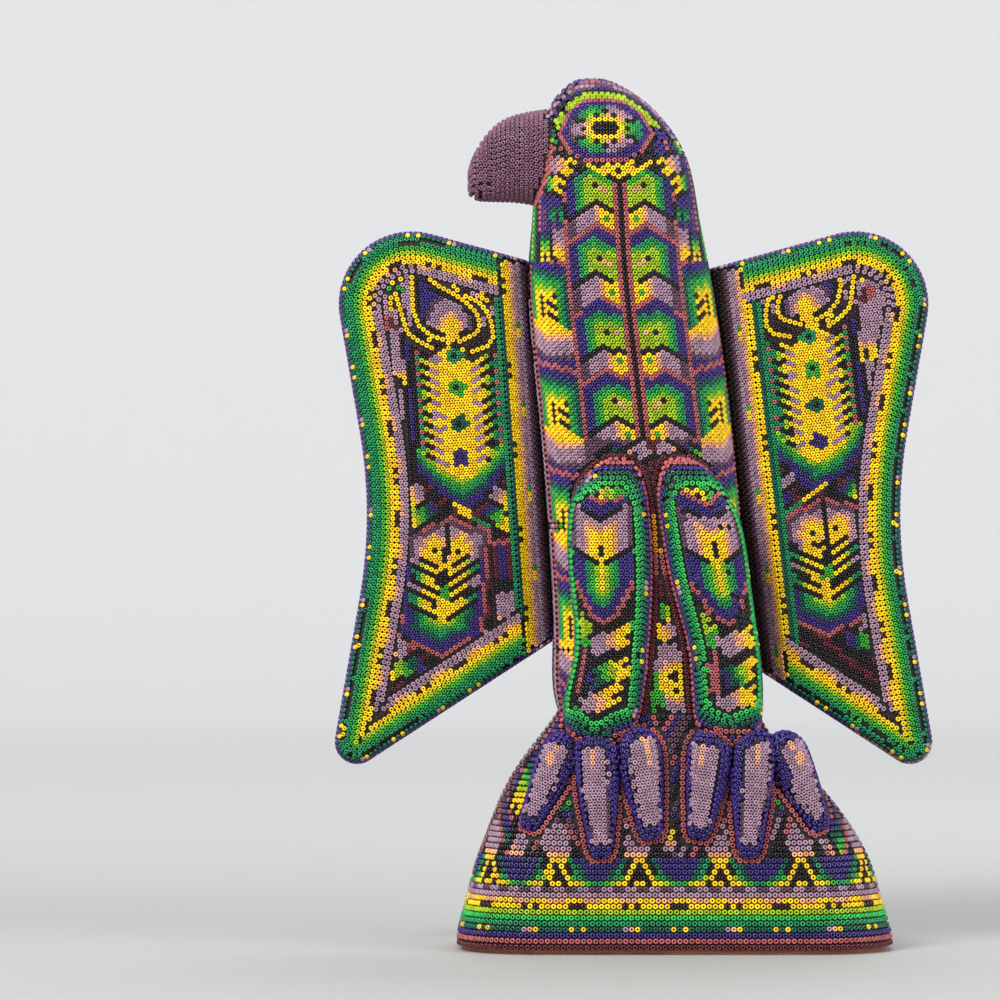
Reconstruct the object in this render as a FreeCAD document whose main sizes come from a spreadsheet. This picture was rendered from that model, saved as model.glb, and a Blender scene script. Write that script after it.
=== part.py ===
import FreeCAD, Part
import math
import os
import Sketcher

# A beaded wooden eagle that stands on its spread tail.
# The carved blocks (body, tail, beak, two wings, two legs with talons) are pegged together
# with dowels, coated with a skin of wax, and covered with glass seed beads pressed in flat.
# Millimetres, +Z up.  X runs across the wings, and the breast faces -Y.
# The origin is the middle of the tail's underside.

Vector = FreeCAD.Vector
document = FreeCAD.newDocument("beaded_eagle")
sheet = document.addObject("Spreadsheet::Sheet", "sizes")

# Each layer is the finished surface pulled in by this many millimetres.
LAYERS = {
    "beads": "0",
    "wax": "sizes.bead_height",
    "core": "sizes.bead_height + sizes.wax_thickness",
}
SIZES = {}


def size(alias, value):
    """Write one driving dimension into the sheet and return how an expression names it."""
    row = len(SIZES) + 1
    sheet.set("A%d" % row, alias)
    sheet.set("B%d" % row, str(value))
    sheet.setAlias("B%d" % row, alias)
    SIZES[alias] = value
    return "sizes." + alias


# ---- driving dimensions -------------------------------------------------------------

size("bead_height", 1.4)
size("wax_thickness", 1.0)
size("bare_rim", 1.8)

size("wing_middle", -14.5)
size("wing_front", 13.0)
size("wing_back", 9.0)
size("wing_edge_radius", 5.0)
size("strip_width", 10.5)
size("strip_depth", 7.0)
size("wing_peg_diameter", 6.0)
size("wing_peg_depth_in_wing", 22.0)
size("wing_peg_depth_in_body", 20.0)
size("wing_peg_setback", 1.5)
size("wing_peg_upper_level", 212.0)
size("wing_peg_lower_level", 140.0)

size("tail_peg_diameter", 12.0)
size("tail_peg_length", 60.0)
size("tail_peg_spread", 15.0)
size("tail_joint_level", 84.4)
size("tail_joint_middle", -5.5)

size("beak_peg_diameter", 7.0)
size("beak_peg_length", 30.0)
size("beak_peg_level", 281.0)
size("beak_root", -44.0)

size("leg_peg_diameter", 5.0)
size("leg_peg_length", 20.0)
size("leg_peg_front", -34.0)
size("leg_peg_upper_level", 150.0)
size("leg_peg_lower_level", 108.0)

size("talon_level", 55.5)

# Horizontal slices of the finished surface, from the bottom up:
# level, middle in X, half width, middle in Y, half depth.
TAIL_SLICES = [
    (0.0, 0.2, 77.0, 0.0, 41.6),
    (4.0, 0.0, 77.4, 0.0, 42.0),
    (12.0, -0.1, 75.6, 0.0, 41.4),
    (24.0, -0.3, 72.3, 0.0, 40.0),
    (38.0, -0.8, 67.2, 0.0, 38.0),
    (52.0, -2.8, 59.8, 0.0, 36.0),
    (64.4, -5.0, 50.9, 0.0, 33.8),
    (74.5, -6.2, 42.2, 0.0, 31.6),
    (84.4, -5.5, 35.8, 0.0, 30.0),
]
BODY_SLICES = [
    (84.4, -5.5, 35.8, 0.0, 30.0),
    (105.0, -7.1, 36.2, 0.0, 31.5),
    (139.0, -9.4, 34.9, 0.0, 32.0),
    (171.0, -12.1, 34.5, 0.0, 32.0),
    (208.0, -16.0, 34.2, 0.0, 32.0),
    (243.0, -19.7, 32.2, 0.0, 30.0),
    (262.0, -20.8, 29.6, 0.0, 28.0),
    (282.7, -22.5, 26.6, 0.0, 26.0),
    (292.5, -24.2, 22.6, 0.0, 23.0),
    (300.4, -26.4, 17.6, 0.0, 18.4),
    (305.6, -28.0, 12.2, 0.0, 13.0),
    (308.6, -29.0, 7.6, 0.0, 8.0),
    (309.8, -29.3, 4.4, 0.0, 4.6),
]
LEFT_LEG_SLICES = [
    (71.0, -26.6, 7.0, -28.0, 6.5),
    (76.0, -26.4, 11.0, -28.0, 9.5),
    (85.0, -26.0, 13.8, -28.0, 11.0),
    (105.0, -22.8, 13.5, -28.5, 11.2),
    (130.0, -22.6, 14.8, -28.8, 11.6),
    (150.0, -23.3, 15.0, -28.8, 11.6),
    (161.0, -23.0, 13.4, -28.8, 11.0),
    (169.0, -21.5, 9.8, -28.8, 9.4),
    (173.2, -20.4, 6.0, -28.8, 6.8),
    (174.8, -20.0, 3.6, -28.8, 4.2),
]
RIGHT_LEG_SLICES = [
    (71.0, 18.8, 6.6, -28.0, 6.5),
    (76.0, 18.6, 10.4, -28.0, 9.5),
    (85.0, 18.2, 12.4, -28.0, 11.0),
    (105.0, 16.9, 12.9, -28.5, 11.2),
    (130.0, 12.0, 14.4, -28.8, 11.6),
    (150.0, 8.6, 14.6, -28.8, 11.6),
    (161.0, 5.8, 13.0, -28.8, 11.0),
    (169.0, 3.2, 9.8, -28.8, 9.4),
    (173.2, 1.2, 6.0, -28.8, 6.8),
    (174.8, 0.6, 3.6, -28.8, 4.2),
]
# The beak is sliced across X instead, from its root outwards:
# reach to -X, middle in Y, half thickness, middle level, half height.
BEAK_SLICES = [
    (38.0, 0.0, 17.0, 281.0, 18.4),
    (47.0, 0.0, 16.2, 281.4, 17.4),
    (55.0, 0.0, 14.4, 281.4, 16.0),
    (62.0, 0.0, 12.0, 280.2, 14.4),
    (68.0, 0.0, 9.2, 277.4, 11.4),
    (71.8, 0.0, 6.2, 274.6, 7.6),
    (73.6, 0.0, 3.4, 273.0, 4.0),
]
# A talon is sliced across its own length, from its tip to its root.
TALON_SLICES = [
    (-26.0, 0.0, 1.7, 0.0, 1.8),
    (-23.6, 0.0, 3.9, 0.0, 4.0),
    (-17.0, 0.0, 5.1, 0.0, 5.2),
    (-6.0, 0.0, 6.7, 0.0, 6.6),
    (6.0, 0.0, 8.0, 0.0, 7.5),
    (15.0, 0.0, 8.3, 0.0, 7.3),
    (21.5, 0.0, 6.0, 0.0, 5.6),
    (24.4, 0.0, 2.8, 0.0, 3.0),
]
# How long each of a foot's talons is, as a share of those slices.
TALON_SHARES = {"inner_talon": 0.80, "middle_talon": 0.93, "outer_talon": 0.76}
# Corner radius of a slice, as a share of its smaller half size.
ROUNDNESS = {"tail": 0.72, "body": 0.90, "leg": 0.88, "beak": 0.90, "talon": 0.90}
# An end slice that narrows at least this much, as a share of its rise, is a cap.  A cap faces
# along the slices, with only this share of it facing outward.
CAP_NARROWING = 0.8
CAP_OUTWARD = 0.15

# The wing's corners before rounding: outward from the wings' middle plane, level, and the
# radius that rounds it.  The third one is the hollow of the outer edge.
WING_CORNERS = [
    (12.0, 237.8, 0.0),
    (111.5, 265.0, 26.0),
    (92.4, 154.2, 172.0),
    (109.4, 56.8, 8.0),
    (12.0, 120.1, 0.0),
]
HOLLOW_CORNER = 3
# The wing's edges are rolled only this far outside its first corner, where they stay in the open.
ROLL_MARGIN = 10.0
# Where the crease between each wing's face and its sloping inner strip starts and ends:
# X at the lower level and X at the upper level.
CREASE_LEVELS = (90.0, 250.0)
CREASES = {"left": (-52.6, -63.6), "right": (41.4, 23.0)}

# Talons of one foot: outward from the feet's middle, forward offset, lean outward in degrees.
TALONS = [
    ("inner_talon", 10.4, 35.6, -9.0),
    ("middle_talon", 26.7, 35.4, -2.0),
    ("outer_talon", 46.0, 30.8, 26.0),
]
FEET_MIDDLE = -0.6
TALON_LEAN_BACK = 9.0


# ---- slices and lofts ---------------------------------------------------------------

def inset_of(layer):
    """The thickness outside a layer, in millimetres."""
    return {
        "beads": 0.0,
        "wax": SIZES["bead_height"],
        "core": SIZES["bead_height"] + SIZES["wax_thickness"],
    }[layer]


def facing(slices, index):
    """How far the surface at a slice faces outward and along the slices, as a unit vector."""
    last = len(slices) - 1
    below = slices[max(index - 1, 0)]
    above = slices[min(index + 1, last)]
    rise = above[0] - below[0]
    narrowing = (below[2] + below[4] - above[2] - above[4]) / 2
    length = math.hypot(rise, narrowing)
    if index not in (0, last):
        return rise / length, narrowing / length
    if abs(narrowing) < rise * CAP_NARROWING:
        return 1.0, 0.0
    return CAP_OUTWARD, math.copysign(1.0, narrowing)


def rounded_rectangle(sketch, half_width, half_depth, radius):
    """Draw a rounded rectangle round the sketch's origin, with named size constraints."""
    inner_width = half_width - radius
    inner_depth = half_depth - radius
    corners = [(1, -1, -90), (1, 1, 0), (-1, 1, 90), (-1, -1, 180)]
    for side_x, side_y, start in corners:
        centre = Vector(side_x * inner_width, side_y * inner_depth, 0)
        circle = Part.Circle(centre, Vector(0, 0, 1), radius)
        arc = Part.ArcOfCircle(circle, math.radians(start), math.radians(start + 90))
        sketch.addGeometry(arc, False)
    for corner in range(4):
        following = (corner + 1) % 4
        start = sketch.Geometry[corner].EndPoint
        end = sketch.Geometry[following].StartPoint
        sketch.addGeometry(Part.LineSegment(start, end), False)
    constraints = []
    for corner in range(4):
        line = 4 + corner
        following = (corner + 1) % 4
        constraints.append(Sketcher.Constraint("Tangent", corner, 2, line, 1))
        constraints.append(Sketcher.Constraint("Tangent", line, 2, following, 1))
        constraints.append(Sketcher.Constraint("Vertical" if corner % 2 == 0 else "Horizontal", line))
    for corner in range(1, 4):
        constraints.append(Sketcher.Constraint("Equal", 0, corner))
    sketch.addConstraint(constraints)
    sized = [
        ("right", Sketcher.Constraint("DistanceX", -1, 1, 4, 1, half_width)),
        ("left", Sketcher.Constraint("DistanceX", 6, 1, -1, 1, half_width)),
        ("back", Sketcher.Constraint("DistanceY", -1, 1, 5, 1, half_depth)),
        ("front", Sketcher.Constraint("DistanceY", 7, 1, -1, 1, half_depth)),
        ("corner", Sketcher.Constraint("Radius", 0, radius)),
    ]
    for name, constraint in sized:
        number = sketch.addConstraint(constraint)
        sketch.renameConstraint(number, name)


def origin_plane(body, role):
    for feature in body.Origin.OriginFeatures:
        if feature.Role == role:
            return feature
    raise ValueError("no origin plane " + role)


def name_slices(name, slices):
    """Put every slice of a block into the sheet."""
    for number, values in enumerate(slices, 1):
        words = ("level", "middle", "half_width", "centre", "half_depth")
        for word, value in zip(words, values):
            size("%s_slice_%d_%s" % (name, number, word), value)


def lofted_body(label, name, kind, slices, layer, plane="XY_Plane", towards=1):
    """A block lofted through its slices, pulled in by the thickness of the layers outside it.

    The label names this block, name finds its slices in the sheet, and kind its roundness.
    """
    body = document.addObject("PartDesign::Body", "%s_%s_loft" % (label, layer))
    inset = LAYERS[layer]
    roundness = ROUNDNESS[kind]
    thickness = inset_of(layer)
    sketches = []
    for number, values in enumerate(slices, 1):
        outward, upward = facing(slices, number - 1)
        cell = "sizes.%s_slice_%d_" % (name, number)
        half_width = values[2] - outward * thickness
        half_depth = values[4] - outward * thickness
        radius = roundness * min(half_width, half_depth)
        sketch = body.newObject("Sketcher::SketchObject", "%s_%s_slice_%d" % (label, layer, number))
        sketch.AttachmentSupport = (origin_plane(body, plane), [""])
        sketch.MapMode = "FlatFace"
        rounded_rectangle(sketch, half_width, half_depth, radius)
        pulled_in = " - %.4f * (%s)" % (outward, inset)
        for side in ("right", "left"):
            sketch.setExpression("Constraints." + side, cell + "half_width" + pulled_in)
        for side in ("back", "front"):
            sketch.setExpression("Constraints." + side, cell + "half_depth" + pulled_in)
        smaller = "min(%shalf_width; %shalf_depth)" % (cell, cell)
        sketch.setExpression("Constraints.corner", "%.2f * (%s%s)" % (roundness, smaller, pulled_in))
        sketch.setExpression("AttachmentOffset.Base.x", cell + "middle")
        sketch.setExpression("AttachmentOffset.Base.y", cell + "centre")
        lowered = "%d * (%slevel - %.4f * (%s))" % (towards, cell, upward, inset)
        sketch.setExpression("AttachmentOffset.Base.z", lowered)
        sketches.append(sketch)
    loft = body.newObject("PartDesign::AdditiveLoft", "%s_%s_solid" % (label, layer))
    loft.Profile = sketches[0]
    loft.Sections = sketches[1:]
    loft.Ruled = False
    body.Tip = loft
    return body


# ---- wings --------------------------------------------------------------------------

def pull_of_corner(number):
    """How far one millimetre of inset moves a wing corner, outward and upward."""
    before, corner, after = [
        Vector(values[0], values[1], 0)
        for values in (WING_CORNERS[number - 1], WING_CORNERS[number],
                       WING_CORNERS[(number + 1) % len(WING_CORNERS)])
    ]
    arriving = (corner - before).normalize()
    leaving = (after - corner).normalize()
    inward = Vector(arriving.y + leaving.y, -arriving.x - leaving.x, 0)
    return inward * (1 / (1 + arriving.dot(leaving)))


def wing_outline(sketch, side, layer):
    """The wing's sharp-cornered outline, every corner placed from the sheet."""
    corners = []
    for number, (outward, level, radius) in enumerate(WING_CORNERS):
        pull = pull_of_corner(number)
        corners.append(Vector(side * (outward + pull.x * inset_of(layer)),
                              level + pull.y * inset_of(layer), 0))
    for number, corner in enumerate(corners):
        following = corners[(number + 1) % len(corners)]
        sketch.addGeometry(Part.LineSegment(corner, following), False)
    for number, corner in enumerate(corners):
        sketch.addConstraint(Sketcher.Constraint("Coincident", number - 1 if number else 4, 2, number, 1))
    for number, corner in enumerate(corners):
        pull = pull_of_corner(number)
        ends = (-1, 1, number, 1) if side > 0 else (number, 1, -1, 1)
        across = sketch.addConstraint(Sketcher.Constraint("DistanceX", *ends, abs(corner.x)))
        up = sketch.addConstraint(Sketcher.Constraint("DistanceY", -1, 1, number, 1, corner.y))
        for constraint, word, amount in ((across, "outward", pull.x), (up, "level", pull.y)):
            name = "corner_%d_%s" % (number + 1, word)
            sketch.renameConstraint(constraint, name)
            cell = "sizes.wing_corner_%d_%s" % (number + 1, word)
            sketch.setExpression("Constraints." + name, "%s + %.5f * (%s)" % (cell, amount, LAYERS[layer]))


def rounded(body, base, edges, name, radius):
    """Fillet the named edges of a body's last feature."""
    fillet = body.newObject("PartDesign::Fillet", name)
    fillet.Base = (base, edges)
    fillet.setExpression("Radius", radius)
    body.Tip = fillet
    document.recompute()
    return fillet


def edges_where(shape, test):
    return ["Edge%d" % number for number, edge in enumerate(shape.Edges, 1) if test(edge)]


def wing_board(name, side, layer):
    """A wing as a flat board with its corners rounded and its edges rolled over."""
    body = document.addObject("PartDesign::Body", "%s_wing_%s_board" % (name, layer))
    inset = LAYERS[layer]
    label = "%s_wing_%s_" % (name, layer)
    sketch = body.newObject("Sketcher::SketchObject", label + "outline")
    sketch.AttachmentSupport = (origin_plane(body, "XZ_Plane"), [""])
    sketch.MapMode = "FlatFace"
    wing_outline(sketch, side, layer)
    sketch.setExpression("AttachmentOffset.Base.x", "sizes.wing_middle")
    sketch.setExpression("AttachmentOffset.Base.z", "-(sizes.wing_back - (%s))" % inset)
    feature = body.newObject("PartDesign::Pad", label + "pad")
    feature.Profile = sketch
    feature.setExpression("Length", "sizes.wing_front + sizes.wing_back - 2 * (%s)" % inset)
    document.recompute()
    for number, (outward, level, radius) in enumerate(WING_CORNERS, 1):
        if not radius:
            continue
        pull = pull_of_corner(number - 1) * inset_of(layer)
        corner = Vector(SIZES["wing_middle"] + side * (outward + pull.x), 0, level + pull.y)

        def stands_there(edge):
            middle = edge.CenterOfMass
            return math.hypot(middle.x - corner.x, middle.z - corner.z) < 0.1

        sign = "+" if number == HOLLOW_CORNER else "-"
        expression = "sizes.wing_corner_%d_radius %s (%s)" % (number, sign, inset)
        feature = rounded(body, feature, edges_where(feature.Shape, stands_there),
                          "%scorner_%d" % (label, number), expression)

    def lies_flat_outside(edge):
        inner = SIZES["wing_middle"] + side * (WING_CORNERS[0][0] + ROLL_MARGIN)
        outside = side * (edge.CenterOfMass.x - inner) > 0
        return edge.BoundBox.YLength < 0.01 and outside

    rounded(body, feature, edges_where(feature.Shape, lies_flat_outside), label + "roll",
            "sizes.wing_edge_radius - (%s)" % inset)
    return body


def strip_cutter(name, side, layer):
    """The block of air in front of a wing's inner strip, which slopes back from the crease."""
    low_level, high_level = CREASE_LEVELS
    low_x, high_x = CREASES[name]
    front = -SIZES["wing_front"]
    low = Vector(low_x, front, low_level)
    along = (Vector(high_x, front, high_level) - low).normalize()
    inward = Vector(-side * along.z, 0, side * along.x)
    slope = inward * SIZES["strip_width"] + Vector(0, SIZES["strip_depth"], 0)
    slope.normalize()
    normal = slope.cross(along)
    if normal.y > 0:
        normal = normal * -1
    cutter = document.addObject("Part::Box", "%s_strip_%s_cutter" % (name, layer))
    cutter.setExpression("Length", "sizes.cutter_length")
    cutter.setExpression("Width", "sizes.cutter_width")
    cutter.setExpression("Height", "sizes.cutter_height")
    start = low - along * SIZES["cutter_overrun"] - normal * inset_of(layer)
    if along.cross(slope).dot(normal) < 0:
        start = start + along * SIZES["cutter_length"]
        along = along * -1
    rotation = FreeCAD.Rotation(along, slope, normal, "XYZ")
    cutter.Placement = FreeCAD.Placement(start, rotation)
    return cutter


# ---- booleans -----------------------------------------------------------------------

def cut(label, base, tools):
    """Cut the tools from the base one after another, and name the result."""
    result = base
    for number, tool in enumerate(tools, 1):
        last = number == len(tools)
        step = document.addObject("Part::Cut", label if last else "%s_step_%d" % (label, number))
        step.Base = result
        step.Tool = tool
        result = step
    result.Label = label
    return result


def peg(label, diameter, length, start, direction):
    """A round wooden dowel."""
    cylinder = document.addObject("Part::Cylinder", label)
    cylinder.Label = label
    cylinder.setExpression("Radius", "sizes.%s / 2" % diameter)
    cylinder.setExpression("Height", length)
    rotation = FreeCAD.Rotation(Vector(0, 0, 1), direction)
    cylinder.Placement = FreeCAD.Placement(start, rotation)
    return cylinder


def body_side(side, level):
    """X of the body's side surface at a level, between the two nearest slices."""
    for below, above in zip(BODY_SLICES, BODY_SLICES[1:]):
        if level <= above[0]:
            share = (level - below[0]) / (above[0] - below[0])
            middle = below[1] + share * (above[1] - below[1])
            half_width = below[2] + share * (above[2] - below[2])
            return middle + side * half_width
    raise ValueError("level above the body")


def talon_slices(share):
    """The talon's slices with its tip drawn in towards its root."""
    root = TALON_SLICES[-1][0]
    return [(root - (root - values[0]) * share, *values[1:]) for values in TALON_SLICES]


def talons_of_foot(name, side, layer):
    """The three carved talons of one foot, side by side."""
    talons = []
    for word, outward, forward, lean in TALONS:
        label = "%s_%s" % (name, word)
        talon = lofted_body(label, word, "talon", talon_slices(TALON_SHARES[word]), layer)
        sideways = FreeCAD.Rotation(Vector(0, 1, 0), -side * lean)
        backwards = FreeCAD.Rotation(Vector(1, 0, 0), -TALON_LEAN_BACK)
        centre = Vector(FEET_MIDDLE + side * outward, -forward, SIZES["talon_level"])
        talon.Placement = FreeCAD.Placement(centre, sideways.multiply(backwards))
        talons.append(talon)
    foot = document.addObject("Part::Compound", "%s_foot_%s" % (name, layer))
    foot.Links = talons
    return foot


# ---- the blocks, layer by layer -----------------------------------------------------

SIDES = {"left": -1, "right": 1}
LEG_SLICES = {"left": LEFT_LEG_SLICES, "right": RIGHT_LEG_SLICES}

size("cutter_length", 240.0)
size("cutter_width", 80.0)
size("cutter_height", 40.0)
size("cutter_overrun", 40.0)
size("rim_length", 200.0)
size("rim_width", 120.0)
for number, (outward, level, radius) in enumerate(WING_CORNERS, 1):
    size("wing_corner_%d_outward" % number, outward)
    size("wing_corner_%d_level" % number, level)
    size("wing_corner_%d_radius" % number, radius)
name_slices("tail", TAIL_SLICES)
name_slices("body", BODY_SLICES)
name_slices("beak", BEAK_SLICES)
name_slices("left_leg", LEFT_LEG_SLICES)
name_slices("right_leg", RIGHT_LEG_SLICES)
for word, share in TALON_SHARES.items():
    name_slices(word, talon_slices(share))
document.recompute()

blocks = {}
for layer in LAYERS:
    blocks["tail", layer] = lofted_body("tail", "tail", "tail", TAIL_SLICES, layer)
    blocks["body", layer] = lofted_body("body", "body", "body", BODY_SLICES, layer)
    blocks["beak", layer] = lofted_body("beak", "beak", "beak", BEAK_SLICES, layer, "YZ_Plane", -1)
    for name, side in SIDES.items():
        board = wing_board(name, side, layer)
        cutter = strip_cutter(name, side, layer)
        blocks[name + "_wing", layer] = cut("%s_wing_%s_shaped" % (name, layer), board, [cutter])
        leg = name + "_leg"
        blocks[leg, layer] = lofted_body(leg, leg, "leg", LEG_SLICES[name], layer)
        blocks[name + "_talons", layer] = talons_of_foot(name, side, layer)

# ---- dowels -------------------------------------------------------------------------

pegs = {"tail": [], "beak": [], "left_wing": [], "right_wing": [], "left_leg": [], "right_leg": []}

for name, side in SIDES.items():
    start = Vector(SIZES["tail_joint_middle"] + side * SIZES["tail_peg_spread"], 0,
                   SIZES["tail_joint_level"] - SIZES["tail_peg_length"] / 2)
    pegs["tail"].append(peg(name + "_tail_dowel", "tail_peg_diameter", "sizes.tail_peg_length",
                            start, Vector(0, 0, 1)))

beak_start = Vector(SIZES["beak_root"] + SIZES["beak_peg_length"] / 2, 0, SIZES["beak_peg_level"])
pegs["beak"].append(peg("beak_dowel", "beak_peg_diameter", "sizes.beak_peg_length", beak_start,
                        Vector(-1, 0, 0)))

for name, side in SIDES.items():
    for height in ("upper", "lower"):
        level = SIZES["wing_peg_%s_level" % height]
        inner = body_side(side, level) - side * SIZES["wing_peg_depth_in_body"]
        start = Vector(inner, SIZES["wing_peg_setback"], level)
        length = "sizes.wing_peg_depth_in_body + sizes.wing_peg_depth_in_wing"
        label = "%s_wing_%s_dowel" % (name, height)
        pegs[name + "_wing"].append(peg(label, "wing_peg_diameter", length, start, Vector(side, 0, 0)))

for name, slices in LEG_SLICES.items():
    for height in ("upper", "lower"):
        level = SIZES["leg_peg_%s_level" % height]
        nearest = min(slices, key=lambda values: abs(values[0] - level))
        start = Vector(nearest[1], SIZES["leg_peg_front"], level)
        label = "%s_leg_%s_dowel" % (name, height)
        pegs[name + "_leg"].append(peg(label, "leg_peg_diameter", "sizes.leg_peg_length", start,
                                       Vector(0, 1, 0)))

# ---- the pieces ---------------------------------------------------------------------

# What each limb is fitted against: the blocks that keep their own layer where they meet it.
FITTED_TO = {
    "beak": ["body"],
    "left_wing": ["body"],
    "right_wing": ["body"],
    "left_leg": ["body", "tail"],
    "right_leg": ["body", "tail"],
    "left_talons": ["tail", "left_leg"],
    "right_talons": ["tail", "right_leg"],
}
# What stands in each block's skin: the blocks whose inner layers pass through it.
PASSED_BY = {
    "body": ["beak", "left_wing", "right_wing", "left_leg", "right_leg"],
    "tail": ["left_leg", "right_leg", "left_talons", "right_talons"],
    "left_leg": ["left_talons"],
    "right_leg": ["right_talons"],
}
pieces = []

all_pegs = [dowel for group in pegs.values() for dowel in group]
pieces.append(cut("body_core", blocks["body", "core"], all_pegs))
pieces.append(cut("tail_core", blocks["tail", "core"], pegs["tail"]))
for limb, neighbours in FITTED_TO.items():
    tools = [blocks[neighbour, "core"] for neighbour in neighbours] + pegs.get(limb, [])
    pieces.append(cut(limb + "_core", blocks[limb, "core"], tools))
pieces.extend(all_pegs)

rim = document.addObject("Part::Box", "bare_rim")
rim.setExpression("Length", "sizes.rim_length")
rim.setExpression("Width", "sizes.rim_width")
rim.setExpression("Height", "sizes.bare_rim")
rim_corner = Vector(-SIZES["rim_length"] / 2, -SIZES["rim_width"] / 2, 0)
rim.Placement = FreeCAD.Placement(rim_corner, FreeCAD.Rotation())

for layer, inner, suffix in (("wax", "core", "_wax"), ("beads", "wax", "_bead_skin")):
    for block in ["body", "tail"] + list(FITTED_TO):
        tools = [blocks[neighbour, layer] for neighbour in FITTED_TO.get(block, [])]
        tools.append(blocks[block, inner])
        tools.extend(blocks[passer, inner] for passer in PASSED_BY.get(block, []))
        if block == "tail":
            tools.append(rim)
        pieces.append(cut(block + suffix, blocks[block, layer], tools))

document.recompute()

# ---- checks and export --------------------------------------------------------------

for item in document.Objects:
    if "Invalid" in item.State or "Error" in item.State:
        raise RuntimeError("%s failed: %s" % (item.Label, item.State))
for piece in pieces:
    shape = piece.Shape
    if shape.isNull() or not shape.isValid() or shape.Volume <= 0:
        raise RuntimeError("bad shape: " + piece.Label)
os.makedirs("parts", exist_ok=True)
for piece in pieces:
    shape = piece.Shape
    shape.exportStep("parts/%s.step" % piece.Label)
    print("%-26s %9.0f mm3  %d solid" % (piece.Label, shape.Volume, len(shape.Solids)))
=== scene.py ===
import functools
import math

import bpy
import numpy as np
from mathutils import Matrix, Vector
from mathutils.bvhtree import BVHTree
from mathutils.kdtree import KDTree


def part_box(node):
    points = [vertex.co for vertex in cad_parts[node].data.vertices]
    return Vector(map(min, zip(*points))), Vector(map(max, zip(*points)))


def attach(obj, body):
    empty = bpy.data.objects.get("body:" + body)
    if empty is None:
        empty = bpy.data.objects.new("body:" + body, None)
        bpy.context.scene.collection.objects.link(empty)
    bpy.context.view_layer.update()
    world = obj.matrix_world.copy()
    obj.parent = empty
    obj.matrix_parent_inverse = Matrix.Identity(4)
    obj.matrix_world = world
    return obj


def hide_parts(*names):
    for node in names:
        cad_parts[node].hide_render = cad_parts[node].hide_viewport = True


# A beaded wooden eagle that stands on its spread tail.  Every glass bead is a closed ring of its
# own, pressed into the wax that the CAD frame brings.  Places are worked out in millimetres, and
# turned into metres when meshes are made.  In names, left and right are the viewer's.

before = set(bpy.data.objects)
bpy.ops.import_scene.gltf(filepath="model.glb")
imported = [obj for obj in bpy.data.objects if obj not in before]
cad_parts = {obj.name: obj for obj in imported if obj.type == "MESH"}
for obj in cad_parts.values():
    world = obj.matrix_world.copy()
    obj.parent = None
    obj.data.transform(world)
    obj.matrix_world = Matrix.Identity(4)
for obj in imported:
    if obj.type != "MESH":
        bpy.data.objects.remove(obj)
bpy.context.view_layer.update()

# ---- sizes, in millimetres ----------------------------------------------------------

MM = 0.001
# Beads in a row are a pitch apart, and rows are this share of a pitch apart.
PITCH = 2.0
WING_PITCH = 1.88
TAIL_PITCH = 2.1
ROW_SHARE = 0.87
TAIL_ROW_SHARE = 0.95
# No bead is pressed nearer to another than this share of a pitch.  Filled gaps on a few blocks
# come down to smaller shares.
SNUG_SHARE = 0.86
GAP_SHARES = {"beak": 0.79, "left_leg": 0.82, "right_leg": 0.82, "left_talons": 0.80,
              "right_talons": 0.80}
# How far a bead's middle lies under the bead skin, and its radius as a share of a pitch.
BEAD_DEPTH = 0.70
BEAD_SHARE = 0.488
# How far off the skin a bead is looked for, and how squarely it has to face its row.
REACH = 5.0
FACING = 0.35
LAYERS_OVER_CORE = 2.4
BEADS_PER_PIECE = 2400
FRONT = Vector((0, -1, 0))
UP = Vector((0, 0, 1))
ACROSS = Vector((1, 0, 0))

# ---- colours ------------------------------------------------------------------------

COLOURS = {
    "yellow": (255, 208, 10),
    "gold": (236, 162, 16),
    "olive": (160, 190, 18),
    "green": (56, 164, 50),
    "bright": (44, 182, 78),
    "jade": (22, 138, 84),
    "teal": (12, 88, 70),
    "indigo": (56, 38, 116),
    "mauve": (168, 134, 154),
    "plum": (98, 66, 88),
    "beak": (124, 84, 104),
    "peach": (232, 168, 122),
    "salmon": (176, 90, 92),
    "maroon": (98, 32, 42),
    "brown": (50, 26, 28),
    "black": (28, 18, 22),
}
# Beads of one colour come in these shades of it.
SHADES = (0.84, 1.0, 1.14)
GLASS_ROUGHNESS = 0.22
GLASS_IOR = 1.5
random = np.random.default_rng(11)


def linear(value):
    """Turn one display colour value, 0 to 255, into a scene-linear one."""
    share = value / 255
    return share / 12.92 if share <= 0.04045 else ((share + 0.055) / 1.055) ** 2.4


def new_material(name, roughness):
    """A new material with its node tree and its shader."""
    material = bpy.data.materials.new(name)
    material.use_nodes = True
    shader = material.node_tree.nodes["Principled BSDF"]
    shader.inputs["Roughness"].default_value = roughness
    return material, material.node_tree, shader


def add_node(tree, kind, **values):
    """A new node of a kind, with values for its inputs; an underscore in a name is a space."""
    node = tree.nodes.new("ShaderNode" + kind)
    for name, value in values.items():
        node.inputs[name.replace("_", " ")].default_value = value
    return node


def glass_material(name, shade):
    """Glossy glass of one shade of a colour."""
    material, _, shader = new_material("glass_%s_%d" % (name, shade), GLASS_ROUGHNESS)
    colour = [min(linear(value) * SHADES[shade], 1.0) for value in COLOURS[name]]
    shader.inputs["Base Color"].default_value = (*colour, 1.0)
    shader.inputs["IOR"].default_value = GLASS_IOR
    return material


# ---- pressing beads in --------------------------------------------------------------

def skin_tree(node):
    """A search tree over a CAD node's mesh, in millimetres."""
    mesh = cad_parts[node].data
    points = [vertex.co / MM for vertex in mesh.vertices]
    return BVHTree.FromPolygons(points, [tuple(face.vertices) for face in mesh.polygons])


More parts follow.
